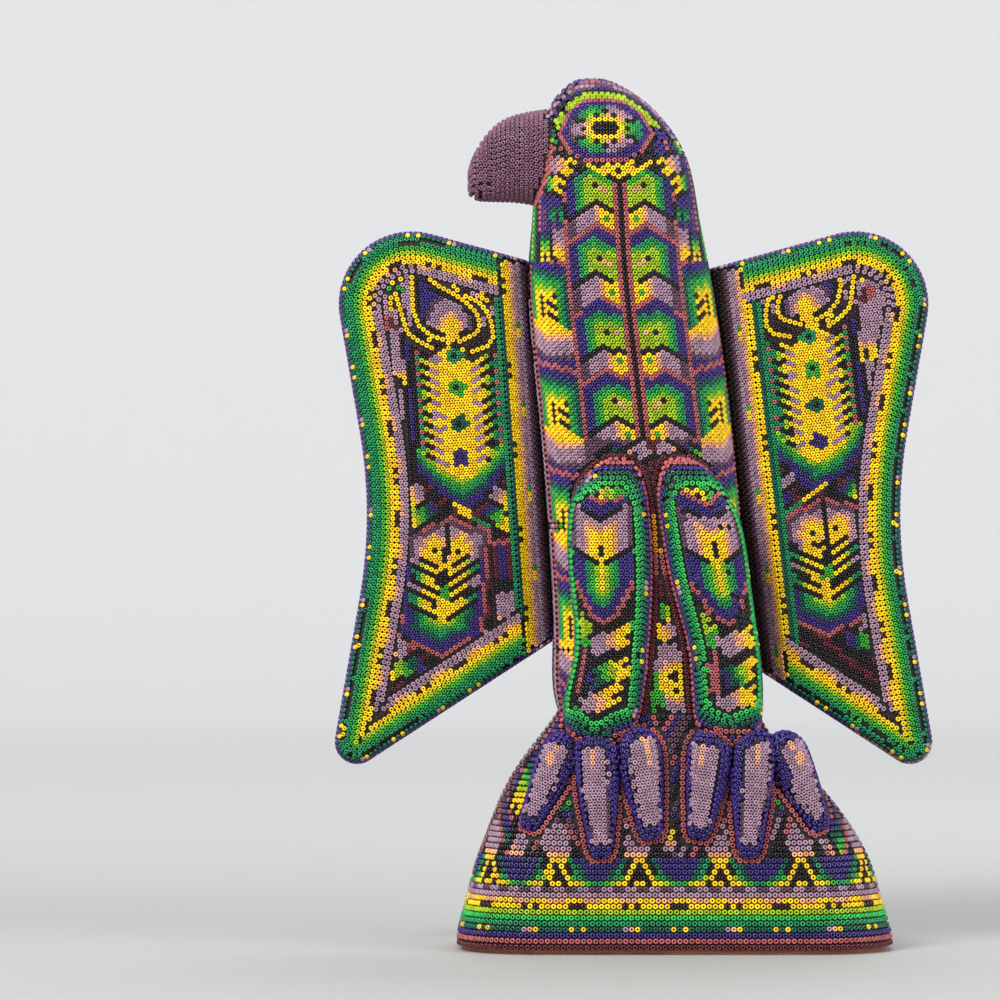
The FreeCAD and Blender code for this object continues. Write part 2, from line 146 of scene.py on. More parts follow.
BLOCKS = ("body", "tail", "beak", "left_wing", "right_wing", "left_leg", "right_leg",
          "left_talons", "right_talons")
PITCHES = {block: PITCH for block in BLOCKS}
PITCHES.update(left_wing=WING_PITCH, right_wing=WING_PITCH, tail=TAIL_PITCH)
ROW = PITCH * ROW_SHARE
WING_ROW = WING_PITCH * ROW_SHARE
TAIL_ROW = TAIL_PITCH * TAIL_ROW_SHARE
skins = {block: skin_tree(block + "_bead_skin") for block in BLOCKS}
placed = {block: [] for block in BLOCKS}
cells = {}


def cell_of(place):
    """The cell of a coarse grid that holds a place."""
    return tuple(math.floor(value / PITCH) for value in place)


def crowded(place, snug):
    """Whether a bead already sits closer than snug."""
    east, north, up = cell_of(place)
    limit = snug * snug
    for i in (east - 1, east, east + 1):
        for j in (north - 1, north, north + 1):
            for k in (up - 1, up, up + 1):
                for other in cells.get((i, j, k), ()):
                    if (other - place).length_squared < limit:
                        return True
    return False


def press(block, start, outward, colour, share=SNUG_SHARE):
    """Press one bead into a block where the line through start along outward meets its skin."""
    hit, normal, _, _ = skins[block].ray_cast(start + outward * REACH, -outward, 2 * REACH)
    if hit is None or normal.dot(outward) < FACING:
        return
    place = hit - normal * BEAD_DEPTH
    if crowded(place, PITCHES[block] * share):
        return
    cells.setdefault(cell_of(place), []).append(place)
    placed[block].append((place, normal, colour))


def between(station, along, rows):
    """The vector at a station along rows of vectors."""
    return Vector([np.interp(station, along, rows[:, axis]) for axis in range(3)])


def lay_row(block, points, outwards, colour_of, closed=False):
    """Press evenly spaced beads along a line of points; colour_of gets the bead's number and point."""
    points = np.array(points)
    if len(points) < 2:
        return
    outwards = np.array(outwards)
    steps = np.linalg.norm(np.diff(points, axis=0), axis=1)
    along = np.concatenate([[0], np.cumsum(steps)])
    count = max(int(along[-1] / PITCHES[block]), 1)
    spacing = along[-1] / count
    for number in range(count if closed else count + 1):
        station = number * spacing
        point = between(station, along, points)
        press(block, point, between(station, along, outwards).normalized(), colour_of(number, point))


# ---- unrolled surfaces --------------------------------------------------------------

# A contour's hits face outward at least this squarely, and dowel holes are deeper than this.
CONTOUR_FACING = 0.3
HOLE_DEPTH = 1.5


class Contour:
    """One level of a surface: its points by arc length, measured from the front both ways."""

    def __init__(self, tree, centre, front, side, reach, grow=0.0, turn=180, step=3):
        rows = []
        for angle in np.radians(np.arange(-turn, turn + step / 2, step)):
            away = front * math.cos(angle) + side * math.sin(angle)
            hit, normal, _, _ = tree.ray_cast(centre + away * reach, -away, reach)
            if hit is None or normal.dot(away) < CONTOUR_FACING:
                rows.append(None)
                continue
            rows.append((hit + normal * grow, normal, (hit - centre).length, angle))
        rows = self.without_holes(rows) if turn == 180 else self.unbroken(rows)
        self.empty = len(rows) < 3
        if self.empty:
            return
        self.points = np.array([row[0] for row in rows])
        self.outwards = np.array([row[1] for row in rows])
        steps = np.linalg.norm(np.diff(self.points, axis=0), axis=1)
        self.arcs = np.concatenate([[0], np.cumsum(steps)])
        self.arcs -= np.interp(0, [row[3] for row in rows], self.arcs)

    @staticmethod
    def without_holes(rows):
        """Drop the hits that went down a dowel hole."""
        radii = np.array([row[2] if row else 0.0 for row in rows])
        usual = np.median([np.roll(radii, shift) for shift in range(-4, 5)], axis=0)
        return [row for row, radius, middle in zip(rows, radii, usual)
                if row and radius > middle - HOLE_DEPTH]

    @staticmethod
    def unbroken(rows):
        """Keep only the run of hits round the front."""
        middle = len(rows) // 2
        low = high = middle
        if not rows[middle]:
            return []
        while low > 0 and rows[low - 1]:
            low -= 1
        while high + 1 < len(rows) and rows[high + 1]:
            high += 1
        return rows[low:high + 1]

    def at(self, across):
        """The point and outward direction at an arc length."""
        point = between(across, self.arcs, self.points)
        return point, between(across, self.arcs, self.outwards).normalized()

    @property
    def girth(self):
        """The length of the whole contour."""
        return self.arcs[-1] - self.arcs[0]


def middle_between(tree, level, depth):
    """X halfway between a surface's two sides at a level and depth, or None."""
    far = 200
    left = tree.ray_cast(Vector((-far, depth, level)), ACROSS, 2 * far)[0]
    right = tree.ray_cast(Vector((far, depth, level)), -ACROSS, 2 * far)[0]
    return None if left is None or right is None else (left.x + right.x) / 2


@functools.cache
def colours_in(text):
    """The colours that a text such as "teal yellow*2" names, one by one."""
    colours = []
    for run in text.split():
        colour, _, count = run.partition("*")
        colours += [colour] * int(count or 1)
    return colours


def nested(depth, text, row=ROW):
    """The colour of a row of a nested set of bands, depth millimetres in."""
    colours = colours_in(text)
    return colours[max(0, min(int(depth / row), len(colours) - 1))]


def repeating(text):
    """What colours a row, bead by bead, with a text's colours over and over."""
    colours = colours_in(text)
    return lambda number, point: colours[number % len(colours)]


def rows_of(*texts):
    """One repeating row for each text."""
    return [repeating(text) for text in texts]


# ---- small figures ------------------------------------------------------------------

WARM = "yellow*2 peach mauve*2"
COOL = "yellow*2 olive green teal indigo"
# A table of forked buds gives each bud's tip, root and colours.
FORK_HALF_WIDTH = 2.9


def from_stroke(place, stroke):
    """How far a place is from a line of points."""
    nearest = 1e9
    for (x, y), (next_x, next_y) in zip(stroke, stroke[1:]):
        along_x, along_y = next_x - x, next_y - y
        share = ((place[0] - x) * along_x + (place[1] - y) * along_y) / (along_x ** 2 + along_y ** 2)
        share = min(max(share, 0), 1)
        nearest = min(nearest, math.hypot(place[0] - x - share * along_x, place[1] - y - share * along_y))
    return nearest


def fork_colour(place, tip, root, text, half_width=FORK_HALF_WIDTH):
    """The colour of a forked bud that runs from its tip to its root, or None outside it."""
    colours = colours_in(text)
    length = math.hypot(root[0] - tip[0], root[1] - tip[1])
    along_x, along_y = (root[0] - tip[0]) / length, (root[1] - tip[1]) / length
    away_x, away_y = place[0] - tip[0], place[1] - tip[1]
    along = away_x * along_x + away_y * along_y
    aside = abs(away_x * along_y - away_y * along_x)
    if not -1 < along < length or aside > half_width + 1.5:
        return None
    if aside > half_width:
        return "black"
    if along < 2.2 and aside < 0.9:
        return "black"
    return colours[max(0, min(int(along / length * len(colours)), len(colours) - 1))]


def first_fork(place, forks, half_width=FORK_HALF_WIDTH):
    """The colour of the first forked bud that covers a place, or None."""
    for tip, root, colours in forks:
        colour = fork_colour(place, tip, root, colours, half_width)
        if colour:
            return colour
    return None


# ---- the body -----------------------------------------------------------------------

CHEVRON_PERIOD = 25.5
CHEVRON_LEVEL = 261.5
CHEST_HALF_WIDTH = 20.4
CHEST_LEVELS = (181.0, 271.5)
FLANK_PERIOD = 38.0
FLANK_TOP = 243.8
FLANK_WIDTH = 21.0
FLANK_FRAME = "salmon indigo*2 teal jade green olive"
FLANK_FOOT = "indigo*2 plum mauve*3 peach yellow"
GAP_FORKS = (
    ((4.0, 119.4), (-5.0, 121.8), COOL),
    ((-5.2, 112.6), (4.4, 114.4), WARM),
    ((-5.0, 82.0), (6.0, 79.6), COOL),
    ((-5.4, 73.5), (5.0, 71.0), WARM),
    ((-12.5, 172.4), (-2.0, 178.6), WARM),
    ((12.5, 172.4), (2.0, 178.6), WARM),
    ((-20.5, 170.0), (-11.0, 178.0), COOL),
    ((20.5, 170.0), (11.0, 178.0), COOL),
)
GAP_SHIFT = 3.0
FLOWER = (2.6, 95.5)


def chest_colour(across, level):
    """Nested chevrons either side of a dark spine."""
    out = abs(across)
    if out < 0.9:
        return "black"
    if out < 2.7:
        return "salmon"
    rise = 0.40 * out if out < 10 else 4.0 - 0.6 * (out - 10)
    below = (CHEVRON_LEVEL + rise - level) % CHEVRON_PERIOD
    if below < 1.9:
        return "black"
    if below < 8.4:
        if out < 8.4:
            return "green" if 4.4 < out < 6.4 and 4 < below < 6 else "yellow"
        return "peach" if out < 10.4 else "mauve" if out < 16.4 else "plum"
    if below < 10.2:
        return "salmon"
    depth = min(below - 10.2, CHEST_HALF_WIDTH - out)
    colour = nested(depth, "indigo*2 jade green olive")
    if colour == "olive" and 4.6 < out < 9.8 and 19.4 < below < 21.2:
        return "black" if out > 8 else "peach"
    return colour


def flank_colour(out, level):
    """Framed panels out from the chest's edge, each with a barred yellow figure over a mauve foot."""
    below = (FLANK_TOP + 0.2 * out - level) % FLANK_PERIOD
    above = FLANK_PERIOD - below
    if out > FLANK_WIDTH:
        return nested(out - FLANK_WIDTH, "salmon black mauve*2 plum black")
    edge = min(out, FLANK_WIDTH - out)
    if above < 14:
        return nested(above + 0.25 * edge, FLANK_FOOT)
    colour = nested(min(below, edge + 3.8 * ROW), FLANK_FRAME)
    if colour != "olive":
        return colour
    if abs(out - 0.62 * FLANK_WIDTH) < 1 and 13 < below < 22:
        return "black"
    if out < 0.5 * FLANK_WIDTH and 13 < below < 23.5:
        return "black" if (below + 0.3 * out) % 3.6 < 1.8 else "green" if out < 5.4 else "yellow"
    return "yellow" if below > 12.4 and edge > 4.4 else "olive"


def leg_gap_colour(across, level):
    """The narrow field between the legs."""
    aside = across - GAP_SHIFT
    colour = first_fork((aside, level), GAP_FORKS)
    if colour:
        return colour
    if level > 160:
        return "salmon" if abs(level - 164 - abs(aside)) < 1 else "maroon" if abs(aside) < 3 else "plum"
    if level > 124:
        if abs(aside + 1.5) < 1.5:
            return "gold" if level > 141 else "salmon" if level > 133 else "maroon"
        return "maroon" if int(aside / ROW) % 2 else "brown"
    away = math.hypot(aside - FLOWER[0], level - FLOWER[1])
    angle = math.degrees(math.atan2(level - FLOWER[1], aside - FLOWER[0])) % 60
    if away < 6.2:
        return "black" if away < 1 or (2.4 < away < 4.4 and abs(angle - 30) < 14) else "yellow"
    if 84 < level < 110:
        return "green" if aside < -2 and level < 99 else "peach" if away < 8.0 else "mauve"
    return "maroon" if (level + aside) % 6 < 3 else "brown"


NECK_LEVEL = 243.8
HEAD_FORKS = (
    ((16.5, 276.4), (27.0, 279.0), WARM),
    ((21.5, 270.4), (32.0, 272.8), COOL),
    ((32.0, 288.0), (26.0, 281.8), COOL),
    ((31.0, 243.4), (31.0, 255.0), COOL),
    ((25.4, 243.4), (25.4, 255.0), WARM),
    ((25.0, 259.0), (25.0, 265.0), "jade teal indigo"),
)


def head_colour(out, level):
    """The head outside the eyes: a double yellow chevron, then buds on a dark ground."""
    fold = level - 0.45 * out
    if out < 12.5 and 272.0 < fold < 274.2:
        return "yellow"
    if out < 6.4 and 275.6 < fold < 277.6:
        return "yellow"
    colour = first_fork((out, level), HEAD_FORKS)
    if colour:
        return colour
    if out < 14 and fold < 279:
        return "black"
    if abs(fold - 280.4) < 0.9 or 20.4 < out < 22:
        return "salmon"
    if out > 34.5:
        return nested(out - 34.5, "salmon black teal jade olive jade teal black")
    return "indigo" if level > 262 or int(out / ROW) % 3 else "plum"


def body_colour(across, level, girth):
    """The colour of a body bead by arc length from the spine and level."""
    out = min(abs(across), girth / 2 - abs(across))
    low, high = CHEST_LEVELS
    if level > high + 0.4 * min(out, 11.5) - 0.75 * max(out - 11.5, 0) and out < CHEST_HALF_WIDTH:
        return head_colour(out, level)
    if level > NECK_LEVEL and out >= CHEST_HALF_WIDTH:
        return head_colour(out, level)
    if level < low and abs(across) < girth / 4 and out < CHEST_HALF_WIDTH + 1:
        return leg_gap_colour(across, level)
    if out > CHEST_HALF_WIDTH + 2:
        return flank_colour(out - CHEST_HALF_WIDTH - 2, level)
    if out > CHEST_HALF_WIDTH:
        return "salmon"
    return chest_colour(out, level)


CROWN_LEVEL = 286.0
# The spine of the pattern is this far from the body's middle.
SPINE_SHIFT = 1.5
BODY_REACH = 60
# Body beads this near the beak are its seam.
BEAK_SEAM = 1.7


def lay_body():
    """Brick columns up the body, then level rings over the crown."""
    core = skin_tree("body_core")
    low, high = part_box("body_bead_skin")
    bottom, top = low.z / MM, high.z / MM
    half = PITCH / 2
    number = 0
    level = bottom + half
    while level < CROWN_LEVEL:
        centre = Vector((middle_between(core, level, 10) + SPINE_SHIFT, 0, level))
        contour = Contour(core, centre, FRONT, ACROSS, BODY_REACH, LAYERS_OVER_CORE)
        columns = int(contour.girth / 4 / ROW) + 1
        for face in (0, 1):
            for column in range(-columns, columns + 1):
                if (column + number) % 2:
                    continue
                across = column * ROW
                if face:
                    across = across + math.copysign(contour.girth / 2, -across)
                point, outward = contour.at(across)
                colour = body_colour(across, level, contour.girth)
                at_beak = skins["beak"].find_nearest(point)[3] < BEAK_SEAM
                press("body", point, outward, "salmon" if at_beak else colour)
        number += 1
        level += half
    while level < top - 0.6:
        centre = Vector((middle_between(skins["body"], min(level, top - 1), 0), 0, level))
        contour = Contour(skins["body"], centre, FRONT, ACROSS, BODY_REACH)
        lay_row("body", contour.points, contour.outwards,
                lambda bead, point: head_colour(abs(point.x - centre.x), point.z), closed=True)
        slope = abs(contour.outwards[:, 2]).mean()
        level += max(ROW * math.sqrt(max(1 - slope * slope, 0)), 0.35)


# ---- the eyes -----------------------------------------------------------------------

# The middle of the eyes, X and level.
EYE = (-24.8, 291.2)
EYE_RINGS = 17
EYE_FLATTENING = 0.74
BROW = 35.0
EYE_BANDS = "olive*2 black indigo plum mauve plum salmon plum"


def crawl(tree, start, direction, distance):
    """Walk over a surface from start, straight ahead, and return where the walk ends."""
    point, normal, _, _ = tree.find_nearest(start)
    heading = (direction - normal * direction.dot(normal)).normalized()
    steps = max(int(distance / 1.0), 1)
    for _ in range(steps):
        point, normal, _, _ = tree.find_nearest(point + heading * (distance / steps))
        heading = (heading - normal * heading.dot(normal)).normalized()
    return point, normal


def eye_colour(right, up):
    """A star flower in an oval of bands, or None outside it."""
    away = math.hypot(right, up / EYE_FLATTENING)
    angle = math.degrees(math.atan2(up / EYE_FLATTENING, right)) % 360
    sixth = abs((angle + 30) % 60 - 30)
    if away < 4.3:
        return "black"
    if sixth < 10 and 6.4 < away < 8.2:
        return "black"
    if away < 6.7:
        return "yellow"
    if away < 13.4:
        if (30 - sixth) * away < 55:
            return "black"
        warm = int((angle + 30) // 60) % 2
        if away < 9.0:
            return "peach" if warm else "olive"
        return ("mauve" if away < 12.2 else "plum") if warm else ("green" if away < 11.2 else "jade")
    if away < 16.2:
        return "indigo"
    if away < 18.2:
        return "salmon"
    if up < 4 or away > BROW:
        return None
    return nested(away - 18.2, EYE_BANDS, PITCH)


def lay_eye(side):
    """Rings of beads round one eye; side is -1 for the front and 1 for the back."""
    tree = skins["body"]
    x, level = EYE
    start = tree.ray_cast(Vector((x, side * 80, level)), Vector((0, -side, 0)), 100)[0]
    for ring in range(EYE_RINGS + 1):
        for bead in range(max(6 * ring, 1)):
            corner, along = divmod(bead, max(ring, 1))
            first = math.radians(60 * corner)
            second = math.radians(60 * corner + 120)
            right = PITCH * (ring * math.cos(first) + along * math.cos(second))
            up = PITCH * (ring * math.sin(first) + along * math.sin(second))
            colour = eye_colour(right, up)
            if colour is None:
                continue
            heading = Vector((right, 0, up))
            point, normal = crawl(tree, start, heading, heading.length) if ring else (start, FRONT * -side)
            press("body", point, normal, colour)


# ---- the beak -----------------------------------------------------------------------

BEAK_REACH = 40


def lay_beak():
    """Rings round the beak from its root to its tip."""
    tree = skins["beak"]
    low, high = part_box("beak_bead_skin")
    reach_x = high.x / MM - ROW / 2
    middle = (low.z + high.z) / 2 / MM
    while reach_x > low.x / MM + 0.5:
        level = middle
        top = tree.ray_cast(Vector((reach_x, 0, 400)), -UP, 300)[0]
        bottom = tree.ray_cast(Vector((reach_x, 0, 100)), UP, 300)[0]
        if top is not None and bottom is not None:
            level = (top.z + bottom.z) / 2
        contour = Contour(tree, Vector((reach_x, 0, level)), FRONT, UP, BEAK_REACH)
        lay_row("beak", contour.points, contour.outwards, lambda bead, point: "beak", closed=True)
        slope = abs(contour.outwards[:, 0]).mean()
        reach_x -= max(ROW * math.sqrt(max(1 - slope * slope, 0)), 0.4)


# ---- the tail -----------------------------------------------------------------------

TAIL_REACH = 100
TAIL_BAND = rows_of(
    # The lowest row is maroon: a real row of beads that also carries painted shade where the foot turns
    # under.
    "maroon",
    "salmon",
    "indigo",
    "teal yellow teal*6 mauve peach yellow teal*5 yellow",
    "jade",
    "bright",
    "olive",
    "brown*2 yellow*6 brown yellow brown yellow*5 brown",
    "yellow*3 peach*3",
    "mauve",
    "mauve*2 plum*2",
)
FAN_PERIOD = 28.6
FAN_START = 15.75
FAN_FOOT = 23.4
FEET_GAP = -2.0
GAP_BUDS = (
    ((-5.4, 63.0), (4.0, 66.0), COOL),
    ((-5.0, 55.0), (4.0, 58.0), WARM),
    ((-4.4, 47.5), (3.4, 50.0), COOL),
    ((0.0, 44.0), (0.0, 35.0), WARM),
)
UPPER_BANDS = "black*2 plum mauve plum black indigo*2 salmon"
BACK_BANDS = "salmon black indigo*2 teal jade green olive yellow*2 peach mauve plum black"
TALON_BUDS = (
    ((-59.5, 25.0), (-52.5, 44.0), WARM),
    ((-67.5, 25.0), (-61.0, 46.0), COOL),
    ((57.5, 25.0), (50.5, 44.0), WARM),
    ((65.5, 25.0), (59.0, 46.0), COOL),
    ((-57.0, 49.0), (-47.0, 68.0), COOL),
    ((58.0, 49.0), (47.0, 68.0), WARM),
    ((-17.6, 58.0), (-16.6, 47.0), COOL),
    ((-38.4, 60.0), (-35.6, 48.0), COOL),
    ((17.8, 58.0), (18.6, 47.0), COOL),
    ((36.0, 60.0), (38.0, 48.0), COOL),
)


def fan_colour(across, level, at_back):
    """Forked feet and stepped fans above the tail's banded foot, under zigzags."""
    out = abs((across - FAN_START + FAN_PERIOD / 2) % FAN_PERIOD - FAN_PERIOD / 2)
    rise = level - FAN_FOOT
    if rise < 11:
        if rise < 2.2:
            return nested(out, "yellow black yellow*2 olive green jade teal", TAIL_PITCH)
        inner = 3.9 - 0.42 * rise
        if out < inner:
            return "black"
        if out < inner + 2.3:
            return "yellow"
        if rise > 5 and out < inner + 4.2:
            return "black" if rise < 8.5 or out > 2.6 else "yellow"
        return nested(out - inner - 2.3 + 0.3 * rise, "olive green jade teal indigo*2")
    roof = 51.0 - 1.65 * out
    if abs(level - roof) < 1.25:
        return "salmon"
    if level < roof:
        width = 5.6 - 0.4 * abs(level - 38.5)
        if out > width:
            return "black"
        return "peach" if level < 36 else "mauve" if level < 45 else "plum"
    if not at_back:
        colour = first_fork((across - FEET_GAP, level), GAP_BUDS) or first_fork((across, level), TALON_BUDS)
        return colour or nested((level - roof) % 17.5, UPPER_BANDS)
    return nested((level - roof) % 26, BACK_BANDS)


def lay_tail():
    """Level rows round the tail, from its foot up."""
    core = skin_tree("tail_core")
    low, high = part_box("tail_bead_skin")
    level = low.z / MM + TAIL_ROW / 2
    number = 0
    while level < high.z / MM - 0.3:
        middle = middle_between(core, level, 0)
        centre = Vector((middle, 0, level))
        contour = Contour(core, centre, FRONT, ACROSS, TAIL_REACH, LAYERS_OVER_CORE)
        count = int(contour.girth / TAIL_PITCH)
        spacing = contour.girth / count
        for bead in range(count):
            across = (bead - count // 2 + 0.5 * (number % 2)) * spacing
            if number < len(TAIL_BAND):
                colour = TAIL_BAND[number](bead - count // 2, None)
            else:
                colour = fan_colour(across, level, abs(across) > contour.girth / 4)
            point, outward = contour.at(across)
            press("tail", point, outward, colour)
        number += 1
        level += TAIL_ROW


# ---- limbs: rows that follow the outline --------------------------------------------

OUTLINE_SPACING = 0.25
FOLD_SLACK = 0.06
SHORTEST_RUN = 3
# Levels on either side that smooth a limb's edges.
SMOOTHING = 4

def inside_rows(boundary, inset):
    """The runs of a closed or open outline moved inward, without the parts that fold over."""
    points, inward, tree = boundary
    runs = []
    run = []
    for point, heading in zip(points, inward):
        moved = point + heading * inset
        _, _, distance = tree.find((moved[0], moved[1], 0))
        if distance > inset - FOLD_SLACK:
            run.append(moved)
            continue
        if len(run) > SHORTEST_RUN:
            runs.append(np.array(run))
        run = []
    if len(run) > SHORTEST_RUN:
        runs.append(np.array(run))
    return runs


def boundary_of(points, closed=True):
    """An outline's closely spaced points, their inward headings if it runs clockwise, and a tree."""
    points = np.array(points, float)
    if closed:
        points = np.vstack([points, points[:1]])
    steps = np.linalg.norm(np.diff(points, axis=0), axis=1)
    along = np.concatenate([[0], np.cumsum(steps)])
    stations = np.arange(0, along[-1], OUTLINE_SPACING)
    dense = np.column_stack([np.interp(stations, along, points[:, axis]) for axis in (0, 1)])
    heading = np.gradient(dense, axis=0)
    heading /= np.linalg.norm(heading, axis=1, keepdims=True)
    inward = np.column_stack([heading[:, 1], -heading[:, 0]])
    tree = KDTree(len(dense))
    for number, point in enumerate(dense):
        tree.insert((point[0], point[1], 0), number)
    tree.balance()
    return dense, inward, tree


def is_inside(boundary, point, margin):
    """Whether a point of the unrolled surface is at least margin inside the outline."""
    points, inward, tree = boundary
    nearest, number, distance = tree.find((point[0], point[1], 0))
    offset = np.array(point) - points[number]
    return distance > margin and offset @ inward[number] > 0


class Limb:
    """A bulging block unrolled level by level, with its outline where it meets its neighbours."""

    STEP = 0.5
    EDGE_ROW = PITCH * 0.94

    def __init__(self, block, centres, along, front, side, reach, turn):
        self.block = block
        self.along = along
        self.contours = {}
        for number, centre in centres.items():
            contour = Contour(skins[block], centre, front, side, reach, turn=turn, step=4)
            if not contour.empty:
                self.contours[number] = contour
        levels = sorted(self.contours)
        left = np.array([self.contours[number].arcs[0] for number in levels])
        right = np.array([self.contours[number].arcs[-1] for number in levels])
        kernel = np.ones(2 * SMOOTHING + 1) / (2 * SMOOTHING + 1)
        left, right = [np.convolve(np.pad(arcs, SMOOTHING, "edge"), kernel, "valid")
                       for arcs in (left, right)]
        heights = np.array(levels) * self.STEP
        up_left = np.column_stack([left, heights])
        down_right = np.column_stack([right, heights])[::-1]
        self.boundary = boundary_of(np.vstack([up_left, down_right]))
        self.low, self.high = heights[0], heights[-1]
        self.widest = max(right.max(), -left.min())
        self.heights, self.middles = heights, (left + right) / 2

    def at(self, across, height):
        """The point and outward direction at a place on the unrolled surface."""
        number = round(height / self.STEP)
        number = min(max(number, min(self.contours)), max(self.contours))
        while number not in self.contours:
            number -= 1
        point, outward = self.contours[number].at(across)
        return point + self.along * (height - number * self.STEP), outward

    def lay(self, rows, field):
        """Lay rows of beads inward from the outline, then fill the middle by field's colours."""
        for number, colours in enumerate(rows):
            for run in inside_rows(self.boundary, (number + 0.5) * self.EDGE_ROW):
                spots = [self.at(*place) for place in run]
                lay_row(self.block, [spot[0] for spot in spots], [spot[1] for spot in spots], colours)
        margin = (len(rows) + 0.4) * self.EDGE_ROW
        columns = int(self.widest / ROW) + 1
        for column in range(-columns, columns + 1):
            height = self.low + PITCH / 2 * (column % 2)
            while height < self.high:
                place = (column * ROW, height)
                if is_inside(self.boundary, place, margin):
                    point, outward = self.at(*place)
                    middle = np.interp(height, self.heights, self.middles)
                    press(self.block, point, outward, field(place[0] - middle, height))
                height += PITCH

    def outline_on(self, host, rows):
        """Lay rows of beads on the host block round this limb."""
        for number, colours in enumerate(rows):
            spots = []
            for place in self.boundary[0]:
                point, outward = self.at(*place)
                beside = point + outward * (1.0 + number * ROW)
                hit, normal, _, distance = skins[host].find_nearest(beside, 6)
                if hit is not None:
                    spots.append((hit, normal))
            lay_row(host, [spot[0] for spot in spots], [spot[1] for spot in spots], colours)


# ---- the legs -----------------------------------------------------------------------

LEG_ROWS = rows_of(
    "salmon",
    "indigo",
    "teal*9 yellow teal yellow teal*9 mauve peach yellow",
    "jade",
    "bright",
)
LEG_FORKS = (
    ((10.4, 112.6), (-4.6, 107.6), WARM),
    ((9.2, 101.4), (-4.0, 96.0), COOL),
    ((8.0, 92.0), (-6.4, 86.4), WARM),
    ((-11.0, 118.0), (-5.0, 109.0), "olive*2 green"),
    ((-2.0, 86.0), (-11.0, 83.0), "olive green"),
)
LEG_FORK_HALF_WIDTH = 3.5
LEG_OUTLINE_Y = -34
LEG_CENTRE_Y = -28
LEG_REACH = 40
LEG_TURN = 100
GAP_MIDDLE = -5.6
LEG_FIGURE_HALF_WIDTH = 9.8


def leg_colour(across, level):
    """The long figure down the middle of a leg: a cap, a hooded seed, a drop, then forked buds."""
    out = abs(across)
    over_chevron = level - 157.8 - 0.5 * out
    if over_chevron > 0.9:
        if out > 8.0 or math.hypot(across + 1.5, level - 161.2) < 1.1:
            return "black"
        return "yellow" if across < 1 else "olive" if across < 3.4 else "green"
    if over_chevron > -0.9:
        return "salmon"
    if over_chevron > -4.2:
        return "indigo"
    if over_chevron > -5.6 and out < 8:
        return "black"
    seed = level - 137.2 - 0.45 * out
    if seed > 0.8:
        if out < 1 and 139.6 < level < 144.4:
            return "black"
        lobe = level - 0.7 * out
        if out < 4.4 and lobe < 146.6:
            return "yellow"
        if out < 6.0 and lobe < 149.0:
            return "peach"
        return "mauve" if out < LEG_FIGURE_HALF_WIDTH else "plum"
    if seed > -0.9 and out > 1.4:
        return "black"
    slope = 0.35 + 0.16 * out
    over_drop = (level - 115.4 - 0.35 * out - 0.08 * out * out) / math.hypot(1, slope)
    if over_drop > 1.7:
        return nested(min(over_drop - 1.7, LEG_FIGURE_HALF_WIDTH - out),
                      "indigo*2 jade green olive yellow")
    if over_drop > 0:
        return "salmon"
    colour = first_fork((across, level), LEG_FORKS, LEG_FORK_HALF_WIDTH)
    if colour:
        return colour
    return "salmon" if -8.0 < across < -6.0 and level > 90 else "indigo" if level < 82 else "black"


def gap_edge_colour(number, point):
    """The row on the body round a leg: maroon, with a gold and a salmon stretch."""
    if abs(point[0] - GAP_MIDDLE) > 6:
        return "maroon"
    return "gold" if 141 < point[2] < 154 else "salmon" if 132 < point[2] < 141 else "maroon"


def lay_leg(name):
    """One leg: rings from its outline, the figure, and an outline on the body."""
    block = name + "_leg"
    tree = skins[block]
    low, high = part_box(block + "_bead_skin")
    centres = {}
    middle = None
    for number in range(int(low.z / MM / Limb.STEP) + 1, int(high.z / MM / Limb.STEP)):
        level = number * Limb.STEP
        found = middle_between(tree, level, LEG_OUTLINE_Y)
        middle = found if found is not None else middle
        if middle is not None:
            centres[number] = Vector((middle, LEG_CENTRE_Y, level))
    leg = Limb(block, centres, UP, FRONT, ACROSS, LEG_REACH, LEG_TURN)
    leg.lay(LEG_ROWS, leg_colour)
    leg.outline_on("body", [gap_edge_colour])


# ---- the talons ---------------------------------------------------------------------

FEET_MIDDLE = -0.6
TALON_LEVEL = 55.5
TALON_LEAN_BACK = 9.0
TALON_HALF_LENGTH = 27.0
TALON_REACH = 12
TALON_TURN = 96
# Each talon's place outward and forward, and how far it leans outward in degrees.
TALONS = (
    (10.4, 35.6, -9.0),
    (26.7, 35.4, -2.0),
    (46.0, 30.8, 26.0),
)
TALON_ROWS = rows_of(
    "indigo",
    "indigo",
)


def talon_colour(across, height):
    """Dark at the edges and pale down the middle."""
    half = 4.2 + 0.07 * height
    if abs(across) > half:
        return "plum"
    return "peach" if 10 < height < 20 and abs(across) < 1 else "mauve"


def lay_talons(name, side):
    """One foot's three talons, each ringed from its own outline."""
    for outward, forward, lean in TALONS:
        turn = Matrix.Rotation(math.radians(-side * lean), 3, "Y")
        turn = turn @ Matrix.Rotation(math.radians(-TALON_LEAN_BACK), 3, "X")
        along = turn @ UP
        front = turn @ FRONT
        across = turn @ ACROSS
        middle = Vector((FEET_MIDDLE + side * outward, -forward, TALON_LEVEL))
        count = int(TALON_HALF_LENGTH / Limb.STEP)
        centres = {number: middle + along * (number * Limb.STEP) for number in range(-count, count)}
        talon = Limb(name + "_talons", centres, along, front, across, TALON_REACH, TALON_TURN)
        talon.lay(TALON_ROWS, talon_colour)
        talon.outline_on("tail", [repeating("salmon")])


# ---- the wings ----------------------------------------------------------------------

# The outline's corners, across and up, with the radius that rounds each.
WING_CORNERS = (
    (12.0, 237.8, 0.0),
    (111.5, 265.0, 26.0),
    (92.4, 154.2, 172.0),
    (109.4, 56.8, 8.0),
    (12.0, 120.1, 0.0),
)
WING_ROLL = 5.0
STRIP_SLOPE = math.atan2(7.0, 10.5)
